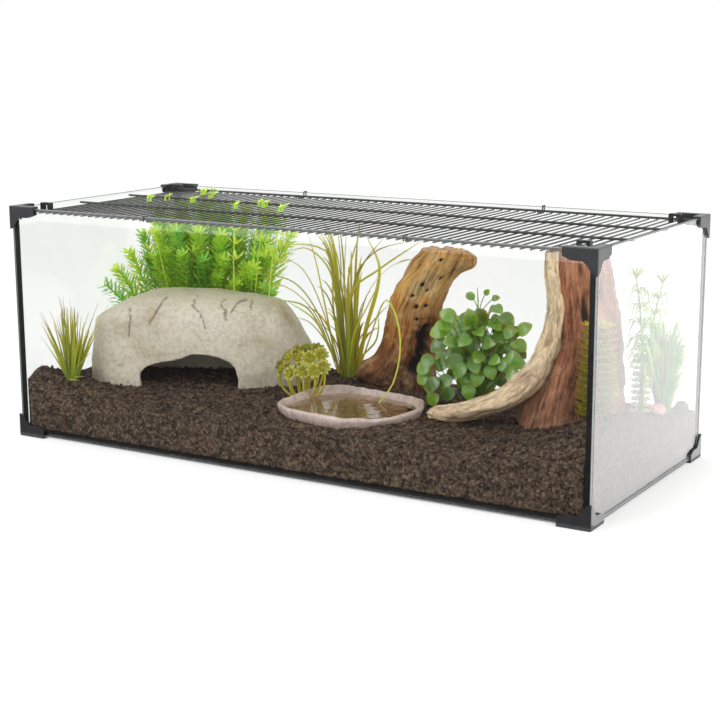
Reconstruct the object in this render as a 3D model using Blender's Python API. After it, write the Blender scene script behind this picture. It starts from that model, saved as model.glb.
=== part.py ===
"""Glass tortoise enclosure: bonded panes, moulded corner caps, a welded wire lid and its planting.

Metres, +Z up. The origin lies on the floor under the middle of the enclosure.
The long front faces -Y and the right end faces +X.
"""

import math

import bmesh
import bpy
from mathutils import Vector

# Overall size over the corner caps
WIDTH = 0.800
DEPTH = 0.345
HEIGHT = 0.300

# Clearance between neighbouring solids
GAP = 0.0003

# Panes, their ground edges, and the silicone that bonds them
GLASS = 0.005
GROUND_EDGE = 0.0004
BOND = 0.001
BEAD = 0.003
BEAD_STEPS = 3
SEAL_GAP = 0.0002
SEAM_HEADROOM = 0.001

# Moulded corner caps
CAP_WALL = 0.0025
CAP_INNER_WALL = 0.002
CAP_REACH_X = 0.040
CAP_REACH_Y = 0.036
CAP_DROP = 0.0292
CAP_WAIST = 0.0144
CAP_TIP = 0.0103
CAP_ROUND = 0.0012
RELIEF_SLOPE = 0.0008

# Wire lid: long wires along X with cross wires welded under them
LONG_WIRE = 0.003
CROSS_WIRE = 0.0023
LONG_COUNT = 4
LONG_SIDES = 6
CROSS_PITCH = 0.01154
WELD = 0.0004
LID_SINK = 0.0065
LID_END_GAP = 0.0047
LID_SIDE_GAP = 0.0127
CROSS_END_GAP = 0.0172
CROSS_OVERHANG = 0.003

# Bent wire hooks that hang the lid on the glass
HOOK_WIRE = 0.0018
HOOK_SIDES = 5
HOOK_LEG = 0.005
HOOK_CURL = 0.002
HOOK_BEND = 0.0028
HOOK_GAPS_FROM_MIDDLE = ((-16, -1), (15, -1), (-15, 1), (16, 1))

# Clips that straddle the last two cross wires
CLIP_LEG = 0.0040
CLIP_BAR = 0.0030
CLIP_DEPTH = 0.007
CLIP_RISE = 0.0022
CLIP_ROUND = 0.0014
CLIP_INSET = 0.016

# Soil
SOIL_BASE = 0.066
SOIL_FRONT_DIP = 0.007
SOIL_FRONT_RUN = 0.018
SOIL_RIPPLE = 0.0012
SOIL_COLUMNS = 20
SOIL_ROWS = 9
SOIL_ROW_EASE = 1.2

# What stands in the tank is placed by shares of its room: x of the inside half length, y of the
# inside half depth, and z of the air between the soil and the lid.

# Mounds as x, y, rise in metres, spread along x and spread along y
SOIL_MOUNDS = (
    (-1.000, -0.789, 0.016, 0.115, 0.213),
    (1.045, -0.516, 0.043, 0.217, 0.668),
    (-0.739, -1.020, -0.009, 0.153, 0.182),
    (0.000, 1.093, -0.012, 1.275, 0.364),
    (-0.204, 0.304, 0.006, 0.204, 0.304),
    (0.510, -0.729, 0.005, 0.153, 0.182),
)

# Rock hide
HIDE_SPOT = (-0.556, -0.024)
HIDE_YAW = math.radians(25)
HIDE_HALF_LENGTH = 0.150
HIDE_HALF_DEPTH = 0.066
HIDE_SINK = 0.006
HIDE_RISE = 0.118
HIDE_WALL = 0.012
HIDE_SQUARE = 3.2
HIDE_POINTS = 26
DOOR_FROM = -0.072
DOOR_TO = 0.048
DOOR_HEIGHT = 0.047
DOOR_STEPS = 7

# Outer skin of the hide as share of its rise and of its outline
HIDE_LEVELS = ((0.0, 0.97), (0.28, 1.00), (0.58, 0.97), (0.80, 0.91), (0.93, 0.80), (1.0, 0.58))

# Water dish
DISH_SPOT = (0.117, -0.437)
DISH_YAW = math.radians(-8)
DISH_HALF_LENGTH = 0.087
DISH_HALF_DEPTH = 0.077
DISH_RISE = 0.025
DISH_STAND = 0.012
DISH_BASE = 0.004
DISH_WAVE = 0.0012
DISH_SQUARE = 2.6
DISH_POINTS = 26

# How far roots and stones reach into the soil, and how loosely it lies against them
ROOT_DEPTH = 0.012
ROCK_SINK = 0.004
SEAT_SIDES = 8
SEAT_REACH = 0.030
SOIL_LOOSE = 0.001
ROOT_CROWN = 0.001
CELL_INSET = 0.0003

# Where the plants stand, and their root radius in metres
LEFT_GRASS = (-0.923, -0.777, 0.011)
BUSH = (-0.836, 0.571, 0.014)
TALL_GRASS = (-0.128, 0.474, 0.014)
LEAFY = (0.418, 0.073, 0.013)
SUCCULENT = (-0.133, -0.182, 0.010)
RIGHT_GRASS = (0.938, 0.716, 0.011)
THIN_STEMS = (0.954, 0.158, 0.007)
FRONT_WHORL = (0.898, -0.316, 0.006)
REAR_WHORL = (0.920, 0.322, 0.006)

# Shoots as width and thickness at each step from root to tip
BLADE = ((0.0045, 0.0014), (0.0040, 0.0012), (0.0010, 0.0008))
LONG_BLADE = ((0.0035, 0.0016), (0.0040, 0.0014), (0.0034, 0.0012), (0.0010, 0.0008))
SPRIG = ((0.006, 0.004), (0.016, 0.006), (0.020, 0.008), (0.016, 0.006), (0.003, 0.002))
LEAF = ((0.0018, 0.0018), (0.0020, 0.0016), (0.016, 0.0022), (0.018, 0.0022), (0.004, 0.0012))
ROSETTE = ((0.0022, 0.0022), (0.010, 0.009), (0.012, 0.010), (0.003, 0.003))
STEM = ((0.0030, 0.0020), (0.0026, 0.0016), (0.0022, 0.0014), (0.0010, 0.0008))

# Whorled stems: height, number of whorls, reach of the leaves, and the bare stem
FRONT_WHORL_TOP = 0.629
FRONT_WHORL_COUNT = 5
FRONT_WHORL_REACH = 0.024
REAR_WHORL_TOP = 0.428
REAR_WHORL_COUNT = 4
REAR_WHORL_REACH = 0.013
WHORL_STEM = 0.0024
WHORL_COLLAR = 0.003
FIRST_WHORL = 0.010

# Stones as place, and half sizes in metres
PINK_ROCK = (0.951, 0.480)
PINK_ROCK_SIZE = (0.011, 0.014, 0.011)
DARK_ROCK = (0.964, 0.892)
DARK_ROCK_SIZE = (0.009, 0.010, 0.010)

# Logs as x, y, z, half length and half depth of each level
CENTRE_WOOD = (
    (0.056, 0.498, -0.045, 0.117, 0.206),
    (0.056, 0.498, 0.054, 0.110, 0.206),
    (0.076, 0.498, 0.178, 0.094, 0.194),
    (0.102, 0.498, 0.308, 0.084, 0.182),
    (0.133, 0.486, 0.473, 0.094, 0.176),
    (0.184, 0.474, 0.634, 0.097, 0.164),
    (0.224, 0.461, 0.754, 0.089, 0.146),
    (0.242, 0.461, 0.830, 0.079, 0.121),
)
RIGHT_WOOD = (
    (0.745, 0.121, -0.045, 0.127, 0.522),
    (0.745, 0.121, 0.085, 0.122, 0.510),
    (0.755, 0.121, 0.232, 0.117, 0.474),
    (0.767, 0.121, 0.397, 0.110, 0.425),
    (0.770, 0.121, 0.553, 0.099, 0.364),
    (0.757, 0.109, 0.741, 0.094, 0.310),
    (0.745, 0.109, 0.910, 0.087, 0.255),
)
CENTRE_WOOD_SIDES = 16
RIGHT_WOOD_SIDES = 18
WOOD_GROOVE = 0.05

# The root that runs out from the right log, as x, y, z, half width and half height
RIGHT_ROOT = (
    (0.727, 0.000, 0.187, 0.273, 0.143),
    (0.625, -0.121, 0.156, 0.243, 0.134),
    (0.530, -0.243, 0.103, 0.206, 0.103),
    (0.449, -0.340, 0.054, 0.158, 0.062),
    (0.3825, -0.364, 0.036, 0.067, 0.027),
)
ROOT_SIDES = 10


def clear_scene():
    for item in list(bpy.data.objects):
        bpy.data.objects.remove(item, do_unlink=True)


def material(name, colour, roughness, metallic=0.0, alpha=1.0):
    """A Principled material; the alpha is for the panes."""
    made = bpy.data.materials.new(name)
    made.use_nodes = True
    shader = made.node_tree.nodes["Principled BSDF"]
    shader.inputs["Base Color"].default_value = (*colour, 1.0)
    shader.inputs["Roughness"].default_value = roughness
    shader.inputs["Metallic"].default_value = metallic
    shader.inputs["Alpha"].default_value = alpha
    made.diffuse_color = (*colour, alpha)
    return made


def add_object(name, form, surface, parent, smooth_below=None):
    """Turn a bmesh into a named object; faces meeting below the angle are smooth."""
    bmesh.ops.recalc_face_normals(form, faces=form.faces)
    mesh = bpy.data.meshes.new(name)
    form.to_mesh(mesh)
    form.free()
    mesh.materials.append(surface)
    if smooth_below is not None:
        mesh.shade_smooth()
        mesh.set_sharp_from_angle(angle=math.radians(smooth_below))
    made = bpy.data.objects.new(name, mesh)
    bpy.context.scene.collection.objects.link(made)
    made.parent = parent
    return made


def as_tool(tool):
    tool.hide_render = True
    tool.display_type = "WIRE"


def combine(target, tool, operation):
    """Join the tool to the target, or cut it out, and keep the tool as a guide."""
    step = target.modifiers.new(tool.name, "BOOLEAN")
    step.operation = operation
    step.solver = "EXACT"
    step.object = tool
    as_tool(tool)


def add_box(form, low, high):
    """A box between two opposite corners."""
    corners = [
        form.verts.new((x, y, z))
        for z in (low[2], high[2])
        for y in (low[1], high[1])
        for x in (low[0], high[0])
    ]
    for loop in ((0, 2, 3, 1), (4, 5, 7, 6), (0, 1, 5, 4), (2, 6, 7, 3), (0, 4, 6, 2), (1, 3, 7, 5)):
        form.faces.new([corners[i] for i in loop])


def add_loft(form, rings):
    """Skin rings that have equally many points, and close both ends."""
    made = [[form.verts.new(point) for point in ring] for ring in rings]
    count = len(rings[0])
    for lower, upper in zip(made, made[1:]):
        for i in range(count):
            j = (i + 1) % count
            form.faces.new((lower[i], lower[j], upper[j], upper[i]))
    form.faces.new(list(reversed(made[0])))
    form.faces.new(made[-1])


def tube_rings(path, radius, sides, flat=None):
    """Rings of a wire along a path, carried without twist."""
    points = [Vector(point) for point in path]
    tangents = []
    for i, point in enumerate(points):
        before = points[max(i - 1, 0)]
        after = points[min(i + 1, len(points) - 1)]
        tangents.append((after - before).normalized())
    side = tangents[0].orthogonal().normalized() if flat is None else Vector(flat)
    rings = []
    for point, tangent in zip(points, tangents):
        side = (side - tangent * side.dot(tangent)).normalized()
        across = tangent.cross(side)
        ring = []
        for k in range(sides):
            angle = 2 * math.pi * (k + 0.5) / sides
            ring.append(point + radius * (math.cos(angle) * side + math.sin(angle) * across))
        rings.append(ring)
    return rings


def arc(centre_a, centre_b, radius, start, end, steps):
    """Points on an arc in a plane, angles in degrees."""
    points = []
    for k in range(steps + 1):
        angle = math.radians(start + (end - start) * k / steps)
        points.append((centre_a + radius * math.cos(angle), centre_b + radius * math.sin(angle)))
    return points


def superellipse(half_length, half_depth, square, count):
    """Points round a rounded rectangle; a higher square value has tighter corners."""
    points = []
    for k in range(count):
        angle = 2 * math.pi * k / count
        c = math.cos(angle)
        s = math.sin(angle)
        x = half_length * math.copysign(abs(c) ** (2 / square), c)
        y = half_depth * math.copysign(abs(s) ** (2 / square), s)
        points.append((x, y))
    return points


def place(points, x, y, yaw):
    """Turn points about Z and move them."""
    c = math.cos(yaw)
    s = math.sin(yaw)
    return [(x + c * u - s * v, y + s * u + c * v) for u, v in points]


# Faces of the glass box, worked out from the overall size
SKIN = CAP_WALL + GAP
GLASS_X = WIDTH / 2 - SKIN
GLASS_Y = DEPTH / 2 - SKIN
GLASS_LOW = SKIN
GLASS_TOP = HEIGHT - SKIN
INNER_X = GLASS_X - GLASS
INNER_Y = GLASS_Y - GLASS
FLOOR_TOP = GLASS_LOW + GLASS

# Levels of the lid's wires, and the air between the soil and them
LONG_Z = HEIGHT - LID_SINK
CROSS_Z = LONG_Z - LONG_WIRE / 2 - CROSS_WIRE / 2 + WELD
AIR = CROSS_Z - CROSS_WIRE / 2 - SOIL_BASE

# Levels and places of the hide and the dish
HIDE_X = HIDE_SPOT[0] * INNER_X
HIDE_Y = HIDE_SPOT[1] * INNER_Y
HIDE_FLOOR = SOIL_BASE - HIDE_SINK
DISH_X = DISH_SPOT[0] * INNER_X
DISH_Y = DISH_SPOT[1] * INNER_Y
DISH_RIM = SOIL_BASE + DISH_STAND
DISH_FLOOR = DISH_RIM - DISH_RISE


def build_glass(parent):
    surface = material("clear_glass", (0.80, 0.90, 0.88), 0.05, 0.0, 0.25)
    bottom_y = INNER_Y - BOND
    sides_low = FLOOR_TOP + BOND
    panes = {
        "pane_front": ((-GLASS_X, -GLASS_Y, GLASS_LOW), (GLASS_X, -INNER_Y, GLASS_TOP)),
        "pane_rear": ((-GLASS_X, INNER_Y, GLASS_LOW), (GLASS_X, GLASS_Y, GLASS_TOP)),
        "pane_bottom": ((-GLASS_X, -bottom_y, GLASS_LOW), (GLASS_X, bottom_y, FLOOR_TOP)),
        "pane_left": ((-GLASS_X, -bottom_y, sides_low), (-INNER_X, bottom_y, GLASS_TOP)),
        "pane_right": ((INNER_X, -bottom_y, sides_low), (GLASS_X, bottom_y, GLASS_TOP)),
    }
    for name, (low, high) in panes.items():
        form = bmesh.new()
        add_box(form, low, high)
        pane = add_object(name, form, surface, parent)
        ground = pane.modifiers.new("ground_edges", "BEVEL")
        ground.width = GROUND_EDGE
        ground.segments = 1


def seam_profile():
    """Bond under a pane's edge and the hollow bead beside it, as across and away values."""
    profile = [(SEAL_GAP, SEAL_GAP)]
    for k in range(BEAD_STEPS + 1):
        angle = math.pi / 2 * k / BEAD_STEPS
        across = GLASS + BEAD - (BEAD - SEAL_GAP) * math.sin(angle)
        away = BOND + BEAD - (BOND + BEAD - SEAL_GAP) * math.cos(angle)
        profile.append((across, away))
    profile.append((GLASS + SEAL_GAP, BOND - SEAL_GAP))
    profile.append((SEAL_GAP, BOND - SEAL_GAP))
    return profile


def build_seams(parent):
    surface = material("black_silicone", (0.02, 0.02, 0.022), 0.45)
    profile = seam_profile()
    upright_low = FLOOR_TOP + BEAD + SEAL_GAP
    upright_high = GLASS_TOP - SEAM_HEADROOM
    for side, sx in (("left", -1), ("right", 1)):
        for face, sy in (("front", -1), ("rear", 1)):
            form = bmesh.new()
            rings = [
                [(sx * (GLASS_X - a), sy * (INNER_Y - b), z) for a, b in profile]
                for z in (upright_low, upright_high)
            ]
            add_loft(form, rings)
            add_object(f"seam_{face}_{side}", form, surface, parent, 50)
    run_x = INNER_X - SEAL_GAP
    for face, sy in (("front", -1), ("rear", 1)):
        form = bmesh.new()
        rings = [
            [(x, sy * (INNER_Y - b), GLASS_LOW + a) for a, b in profile]
            for x in (-run_x, run_x)
        ]
        add_loft(form, rings)
        add_object(f"seam_bottom_{face}", form, surface, parent, 50)
    run_y = INNER_Y - BOND - BEAD - SEAL_GAP
    for side, sx in (("left", -1), ("right", 1)):
        form = bmesh.new()
        rings = [
            [(sx * (GLASS_X - a), y, FLOOR_TOP + b) for a, b in profile]
            for y in (-run_y, run_y)
        ]
        add_loft(form, rings)
        add_object(f"seam_bottom_{side}", form, surface, parent, 50)


def skirt_outline(reach):
    """Depth of a cap's skirt at stations along one arm, from the corner to the arm's end."""
    stretch = reach / CAP_REACH_X
    outline = [(0.0020, CAP_DROP), (0.0066, 0.0264), (0.0090, 0.0233), (0.0120, 0.0185)]
    outline += [(0.0171, CAP_WAIST), (0.0297, CAP_WAIST - 0.0001), (CAP_REACH_X, CAP_TIP)]
    return [(station * stretch, depth) for station, depth in outline]


def cap_stations(reach):
    """Outline stations of an arm with the start and full depth of the inner skirt."""
    outline = skirt_outline(reach)
    relief = SKIN + GLASS + BOND + BEAD + GAP
    stations = []
    for extra in (CAP_ROUND, relief, relief + RELIEF_SLOPE):
        for (s0, d0), (s1, d1) in zip([(0.0, CAP_DROP)] + outline, outline):
            if s0 <= extra < s1:
                depth = d0 + (d1 - d0) * (extra - s0) / (s1 - s0)
                stations.append((extra, depth, extra > relief))
    for station, depth in outline:
        if station > CAP_ROUND:
            stations.append((station, depth, station > relief))
    return sorted(stations)


def cap_section(depth, inner_depth, has_inner_skirt):
    """Section across a cap's arm, as inward offset and distance from the flat plate."""
    bend = CAP_ROUND * (1 - math.cos(math.pi / 4))
    plate = SKIN + GLASS + GAP + CAP_INNER_WALL
    section = [(0, depth), (0, CAP_ROUND), (bend, bend), (CAP_ROUND, 0), (plate, 0)]
    if has_inner_skirt:
        section += [(plate, inner_depth), (plate - CAP_INNER_WALL, inner_depth)]
        section.append((plate - CAP_INNER_WALL, CAP_WALL))
    else:
        section.append((plate, CAP_WALL))
    section += [(CAP_WALL, CAP_WALL), (CAP_WALL, depth)]
    return section


def cap_form(sx, sy, sz):
    """A corner cap: a right-angled plate with skirts outside and, at the top, inside the glass."""
    has_inner = sz > 0
    rings = []
    for station, depth, deep in reversed(cap_stations(CAP_REACH_Y)):
        section = cap_section(depth, depth if deep else CAP_WALL, has_inner)
        rings.append([(u, max(station, u), w) for u, w in section])
    section = cap_section(CAP_DROP, CAP_WALL, has_inner)
    turn = 1 - math.cos(math.pi / 4)
    corner = [max(u, CAP_ROUND * turn + u * (1 - turn)) for u, _ in section]
    rings.append([(c, c, w) for c, (_, w) in zip(corner, section)])
    for station, depth, deep in cap_stations(CAP_REACH_X):
        section = cap_section(depth, depth if deep else CAP_WALL, has_inner)
        rings.append([(max(station, u), u, w) for u, w in section])
    base = HEIGHT if sz > 0 else 0.0
    placed = [
        [(sx * (WIDTH / 2 - x), sy * (DEPTH / 2 - y), base - sz * w) for x, y, w in ring]
        for ring in rings
    ]
    form = bmesh.new()
    add_loft(form, placed)
    bmesh.ops.remove_doubles(form, verts=form.verts, dist=0.00001)
    bmesh.ops.dissolve_degenerate(form, edges=form.edges, dist=0.00001)
    return form


def build_caps(parent):
    surface = material("charcoal_plastic", (0.045, 0.046, 0.050), 0.42)
    for level, sz in (("top", 1), ("bottom", -1)):
        for face, sy in (("front", -1), ("rear", 1)):
            for side, sx in (("left", -1), ("right", 1)):
                name = f"cap_{level}_{face}_{side}"
                add_object(name, cap_form(sx, sy, sz), surface, parent, 35)


# Spread of the lid's wires
LONG_ROW = INNER_Y - LID_SIDE_GAP
CROSS_END = INNER_X - CROSS_END_GAP
CROSS_COUNT = 1 + round(2 * CROSS_END / CROSS_PITCH)
CROSS_STEP = 2 * CROSS_END / (CROSS_COUNT - 1)


def build_lid_grid(parent):
    """Long wires of six sides united with all the cross wires under them."""
    surface = material("coated_wire", (0.05, 0.05, 0.055), 0.40, 0.3)
    long_end = INNER_X - LID_END_GAP
    across_flats = LONG_WIRE / 2 / math.cos(math.pi / LONG_SIDES)
    form = bmesh.new()
    for row in range(LONG_COUNT):
        y = -LONG_ROW + 2 * LONG_ROW * row / (LONG_COUNT - 1)
        path = ((-long_end, y, LONG_Z), (long_end, y, LONG_Z))
        add_loft(form, tube_rings(path, across_flats, LONG_SIDES, (0, 0, 1)))
    grid = add_object("lid_grid", form, surface, parent, 70)
    cross_end_y = LONG_ROW + CROSS_OVERHANG
    form = bmesh.new()
    for k in range(CROSS_COUNT):
        x = -CROSS_END + CROSS_STEP * k
        path = ((x, -cross_end_y, CROSS_Z), (x, cross_end_y, CROSS_Z))
        add_loft(form, tube_rings(path, CROSS_WIRE / 2, 4, (math.sqrt(0.5), 0, math.sqrt(0.5))))
    cross = add_object("lid_cross_wires", form, surface, parent)
    combine(grid, cross, "UNION")


def hook_path():
    """Centre line of a hook, as distance in from the outer glass face and height."""
    wire = HOOK_WIRE / 2
    grip = wire + GAP
    wire_in = GLASS + LID_SIDE_GAP
    under = LONG_Z - LONG_WIRE / 2 - grip
    curl = LONG_WIRE / 2 + grip
    path = [(-grip, GLASS_TOP - HOOK_LEG)]
    path += arc(0.0, GLASS_TOP, grip, 180, 90, 2)
    path += arc(GLASS, GLASS_TOP, grip, 90, 0, 2)
    path += arc(GLASS + grip + HOOK_BEND, under + HOOK_BEND, HOOK_BEND, 180, 270, 2)
    path += arc(wire_in, LONG_Z, curl, 270, 360, 3)
    path.append((wire_in + curl, LONG_Z + HOOK_CURL))
    return path


def build_hooks(parent):
    surface = material("hook_steel", (0.10, 0.10, 0.105), 0.35, 0.7)
    middle = (CROSS_COUNT - 1) / 2
    for gap_index, sy in HOOK_GAPS_FROM_MIDDLE:
        wire_before = math.floor(middle) + gap_index
        x = -CROSS_END + CROSS_STEP * (wire_before + 0.5)
        form = bmesh.new()
        path = [(x, sy * (GLASS_Y - a), z) for a, z in hook_path()]
        add_loft(form, tube_rings(path, HOOK_WIRE / 2, HOOK_SIDES, (1, 0, 0)))
        face = "front" if sy < 0 else "rear"
        side = "left" if gap_index < 0 else "right"
        add_object(f"hook_{face}_{side}", form, surface, parent, 70)


def clip_profile():
    """One clip seen along the cross wires: two notched legs under a round-shouldered bar."""
    foot = CROSS_Z
    top = HEIGHT + CLIP_RISE
    notch = CROSS_WIRE / 2 + GAP * math.sqrt(2)
    leg = CROSS_STEP / 2
    half = leg + CLIP_LEG / 2
    inner = leg - CLIP_LEG / 2
    right = [(inner, top - CLIP_BAR), (inner, foot), (leg - notch, foot)]
    right += [(leg, foot + notch), (leg + notch, foot), (half, foot)]
    right += arc(half - CLIP_ROUND, top - CLIP_ROUND, CLIP_ROUND, 0, 90, 3)
    left = [(-x, z) for x, z in reversed(right)]
    return right + left


def build_clips(parent):
    surface = material("black_clip", (0.03, 0.03, 0.032), 0.5)
    centre_x = CROSS_END - CROSS_STEP / 2
    centre_y = LONG_ROW - CLIP_INSET
    profile = clip_profile()
    for face, sy in (("front", -1), ("rear", 1)):
        for side, sx in (("left", -1), ("right", 1)):
            form = bmesh.new()
            ends = (sy * centre_y - CLIP_DEPTH / 2, sy * centre_y + CLIP_DEPTH / 2)
            rings = [[(sx * centre_x + x, y, z) for x, z in profile] for y in ends]
            add_loft(form, rings)
            add_object(f"clip_{face}_{side}", form, surface, parent, 35)


def soil_height(x, y):
    """Height of the soil's surface: low along the front pane, with mounds behind."""
    behind = 1 - math.exp(-(((y + INNER_Y) / SOIL_FRONT_RUN) ** 2))
    u = x / INNER_X
    v = y / INNER_Y
    rise = 0.0
    for mound_u, mound_v, height, spread_u, spread_v in SOIL_MOUNDS:
        away = ((u - mound_u) / spread_u) ** 2 + ((v - mound_v) / spread_v) ** 2
        rise += height * math.exp(-away)
    ripple = SOIL_RIPPLE * math.sin(17 * u + 2) * math.sin(9.4 * v + 1)
    front = SOIL_BASE - SOIL_FRONT_DIP + 0.45 * rise
    return front + (SOIL_BASE + rise + ripple - front) * behind


def soil_form():
    """A bed with a waved top and chamfered lower edges that clear the silicone beads."""
    low = FLOOR_TOP + GAP
    bevel = BEAD + BOND + GAP
    half_x = INNER_X - GAP
    half_y = INNER_Y - GAP
    inset = BEAD + BOND
    xs = [-half_x + 2 * half_x * i / SOIL_COLUMNS for i in range(SOIL_COLUMNS + 1)]
    ys = [-half_y + 2 * half_y * (j / SOIL_ROWS) ** SOIL_ROW_EASE for j in range(SOIL_ROWS + 1)]
    form = bmesh.new()

    def clipped(x, y):
        """Pull a border point in where the upright beads fill the glass corners."""
        if abs(x) > half_x - 1e-6 and abs(y) > half_y - 1e-6:
            return (math.copysign(half_x - inset, x), math.copysign(half_y - inset, y))
        return (x, y)

    top = {}
    for i, x in enumerate(xs):
        for j, y in enumerate(ys):
            px, py = clipped(x, y)
            top[i, j] = form.verts.new((px, py, soil_height(px, py)))
    for i in range(SOIL_COLUMNS):
        for j in range(SOIL_ROWS):
            form.faces.new((top[i, j], top[i + 1, j], top[i + 1, j + 1], top[i, j + 1]))
    border = [(i, 0) for i in range(SOIL_COLUMNS)]
    border += [(SOIL_COLUMNS, j) for j in range(SOIL_ROWS)]
    border += [(i, SOIL_ROWS) for i in range(SOIL_COLUMNS, 0, -1)]
    border += [(0, j) for j in range(SOIL_ROWS, 0, -1)]
    middle_ring = []
    low_ring = []
    for i, j in border:
        x, y, _ = top[i, j].co
        middle_ring.append(form.verts.new((x, y, low + bevel)))
        foot_x = math.copysign(min(abs(x), half_x - inset), x)
        foot_y = math.copysign(min(abs(y), half_y - inset), y)
        low_ring.append(form.verts.new((foot_x, foot_y, low)))
    count = len(border)
    for k in range(count):
        n = (k + 1) % count
        form.faces.new((middle_ring[k], middle_ring[n], top[border[n]], top[border[k]]))
        form.faces.new((low_ring[k], low_ring[n], middle_ring[n], middle_ring[k]))
    bmesh.ops.remove_doubles(form, verts=form.verts, dist=0.00001)
    rim = [edge for edge in form.edges if edge.is_boundary]
    bmesh.ops.contextual_create(form, geom=rim)
    return form


def hide_ring(scale, z, grow, roughness):
    """One level of the hide's outer or inner skin."""
    length = HIDE_HALF_LENGTH * scale + grow
    depth = HIDE_HALF_DEPTH * scale + grow
    ring = []
    outline = superellipse(length, depth, HIDE_SQUARE, HIDE_POINTS)
    for k, (u, v) in enumerate(outline):
        wave = 1 + roughness * (math.sin(3 * k + 40 * z) + math.sin(5 * k + 1 + 90 * z)) / 2
        ring.append((u * wave, v * wave))
    return [(x, y, z) for x, y in place(ring, HIDE_X, HIDE_Y, HIDE_YAW)]


def build_hide(parent):
    """A hollow stone shell, open below, with a low door in its front."""
    surface = material("cast_stone", (0.62, 0.56, 0.45), 0.85)
    rings = [
        hide_ring(scale, HIDE_FLOOR + HIDE_RISE * level, 0.0, 0.02 if level > 0 else 0.0)
        for level, scale in HIDE_LEVELS
    ]
    form = bmesh.new()
    add_loft(form, rings)
    hide = add_object("rock_hide", form, surface, parent, 30)
    inner_rise = HIDE_RISE - HIDE_WALL
    rings = [hide_ring(HIDE_LEVELS[0][1], HIDE_FLOOR - HIDE_WALL, -HIDE_WALL, 0.0)]
    rings += [
        hide_ring(scale, HIDE_FLOOR + inner_rise * level, -HIDE_WALL, 0.0)
        for level, scale in HIDE_LEVELS[1:]
    ]
    form = bmesh.new()
    add_loft(form, rings)
    combine(hide, add_object("hide_hollow", form, surface, parent), "DIFFERENCE")
    width = DOOR_TO - DOOR_FROM
    arch = [(DOOR_FROM, -HIDE_WALL), (DOOR_TO, -HIDE_WALL), (DOOR_TO, 0.40 * DOOR_HEIGHT)]
    for k in range(1, DOOR_STEPS):
        along = k / DOOR_STEPS
        lift = math.sin(math.pi * (1 - along) ** 0.75) ** 0.6
        arch.append((DOOR_TO - width * along, DOOR_HEIGHT * (0.42 + 0.58 * lift)))
    arch.append((DOOR_FROM, 0.22 * DOOR_HEIGHT))
    form = bmesh.new()
    rings = []
    for v in (-HIDE_HALF_DEPTH - HIDE_WALL, -HIDE_HALF_DEPTH + 2 * HIDE_WALL):
        spots = place([(u, v) for u, _ in arch], HIDE_X, HIDE_Y, HIDE_YAW)
        rings.append([(x, y, HIDE_FLOOR + w) for (x, y), (_, w) in zip(spots, arch)])
    add_loft(form, rings)
    combine(hide, add_object("hide_door", form, surface, parent), "DIFFERENCE")
    form = bmesh.new()
    pocket_levels = (HIDE_FLOOR - GAP, HIDE_FLOOR + HIDE_RISE)
    add_loft(form, [hide_ring(HIDE_LEVELS[1][1], z, 2 * GAP, 0.0) for z in pocket_levels])
    return add_object("hide_seat", form, surface, parent)


def dish_ring(scale, level, grow=0.0, wave=0.0):
    """One ring of the dish at a share of its rise; the rim rolls up and down by the wave."""
    length = DISH_HALF_LENGTH * scale + grow
    depth = DISH_HALF_DEPTH * scale + grow
    outline = superellipse(length, depth, DISH_SQUARE, DISH_POINTS)
    ring = []
    for k, (x, y) in enumerate(place(outline, DISH_X, DISH_Y, DISH_YAW)):
        roll = wave * math.sin(6 * math.pi * k / DISH_POINTS)
        ring.append((x, y, DISH_FLOOR + DISH_RISE * level + roll))
    return ring


def build_dish(parent):
    """A shallow bowl with a thick rolled rim, set into the soil."""
    surface = material("glazed_resin", (0.58, 0.48, 0.42), 0.35)
    rings = [
        dish_ring(0.80, 0.0),
        dish_ring(0.93, 0.36),
        dish_ring(0.99, 0.84, 0.0, 0.7 * DISH_WAVE),
        dish_ring(0.965, 1.0, 0.0, DISH_WAVE),
        dish_ring(0.92, 0.92, 0.0, 0.7 * DISH_WAVE),
        dish_ring(0.80, 0.56),
        dish_ring(0.66, DISH_BASE / DISH_RISE),
    ]
    form = bmesh.new()
    add_loft(form, rings)
    add_object("water_dish", form, surface, parent, 50)
    form = bmesh.new()
    seat = [
        dish_ring(0.80, -GAP / DISH_RISE, 2 * GAP),
        dish_ring(0.93, 0.36, 3 * GAP),
        dish_ring(0.99, 0.84, 4 * GAP),
        dish_ring(0.99, 3.0, 4 * GAP),
    ]
    add_loft(form, seat)
    return add_object("dish_seat", form, surface, parent)


def wood_rings(sections, grow, count):
    """Levels of a log, with a grooved skin."""
    rings = []
    for u, v, w, half_u, half_v in sections:
        foot = GAP if grow and not rings else 0.0
        z = SOIL_BASE + w * AIR
        ring = []
        for k in range(count):
            angle = 2 * math.pi * k / count
            groove = 1 + WOOD_GROOVE * (math.sin(4 * angle + 30 * z) + 0.6 * math.sin(7 * angle))
            ring.append((
                u * INNER_X + (half_u * INNER_X * groove + grow) * math.cos(angle),
                v * INNER_Y + (half_v * INNER_Y * groove + grow) * math.sin(angle),
                z - foot,
            ))
        rings.append(ring)
    return rings


def foot_rings(grow):
    """Upright sections of the root, laid along the soil."""
    points = [Vector((u * INNER_X, v * INNER_Y, SOIL_BASE + w * AIR)) for u, v, w, _, _ in RIGHT_ROOT]
    last = len(points) - 1
    rings = []
    for i, (point, section) in enumerate(zip(points, RIGHT_ROOT)):
        run = (points[min(i + 1, last)] - points[max(i - 1, 0)]).normalized()
        side = Vector((-run.y, run.x, 0)).normalized()
        up = run.cross(side)
        centre = point + run * (grow if i == last else 0.0)
        wide = side * (section[3] * INNER_Y + grow)
        tall = up * (section[4] * AIR + grow)
        turns = [2 * math.pi * k / ROOT_SIDES for k in range(ROOT_SIDES)]
        rings.append([centre + wide * math.cos(turn) + tall * math.sin(turn) for turn in turns])
    return rings


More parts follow.
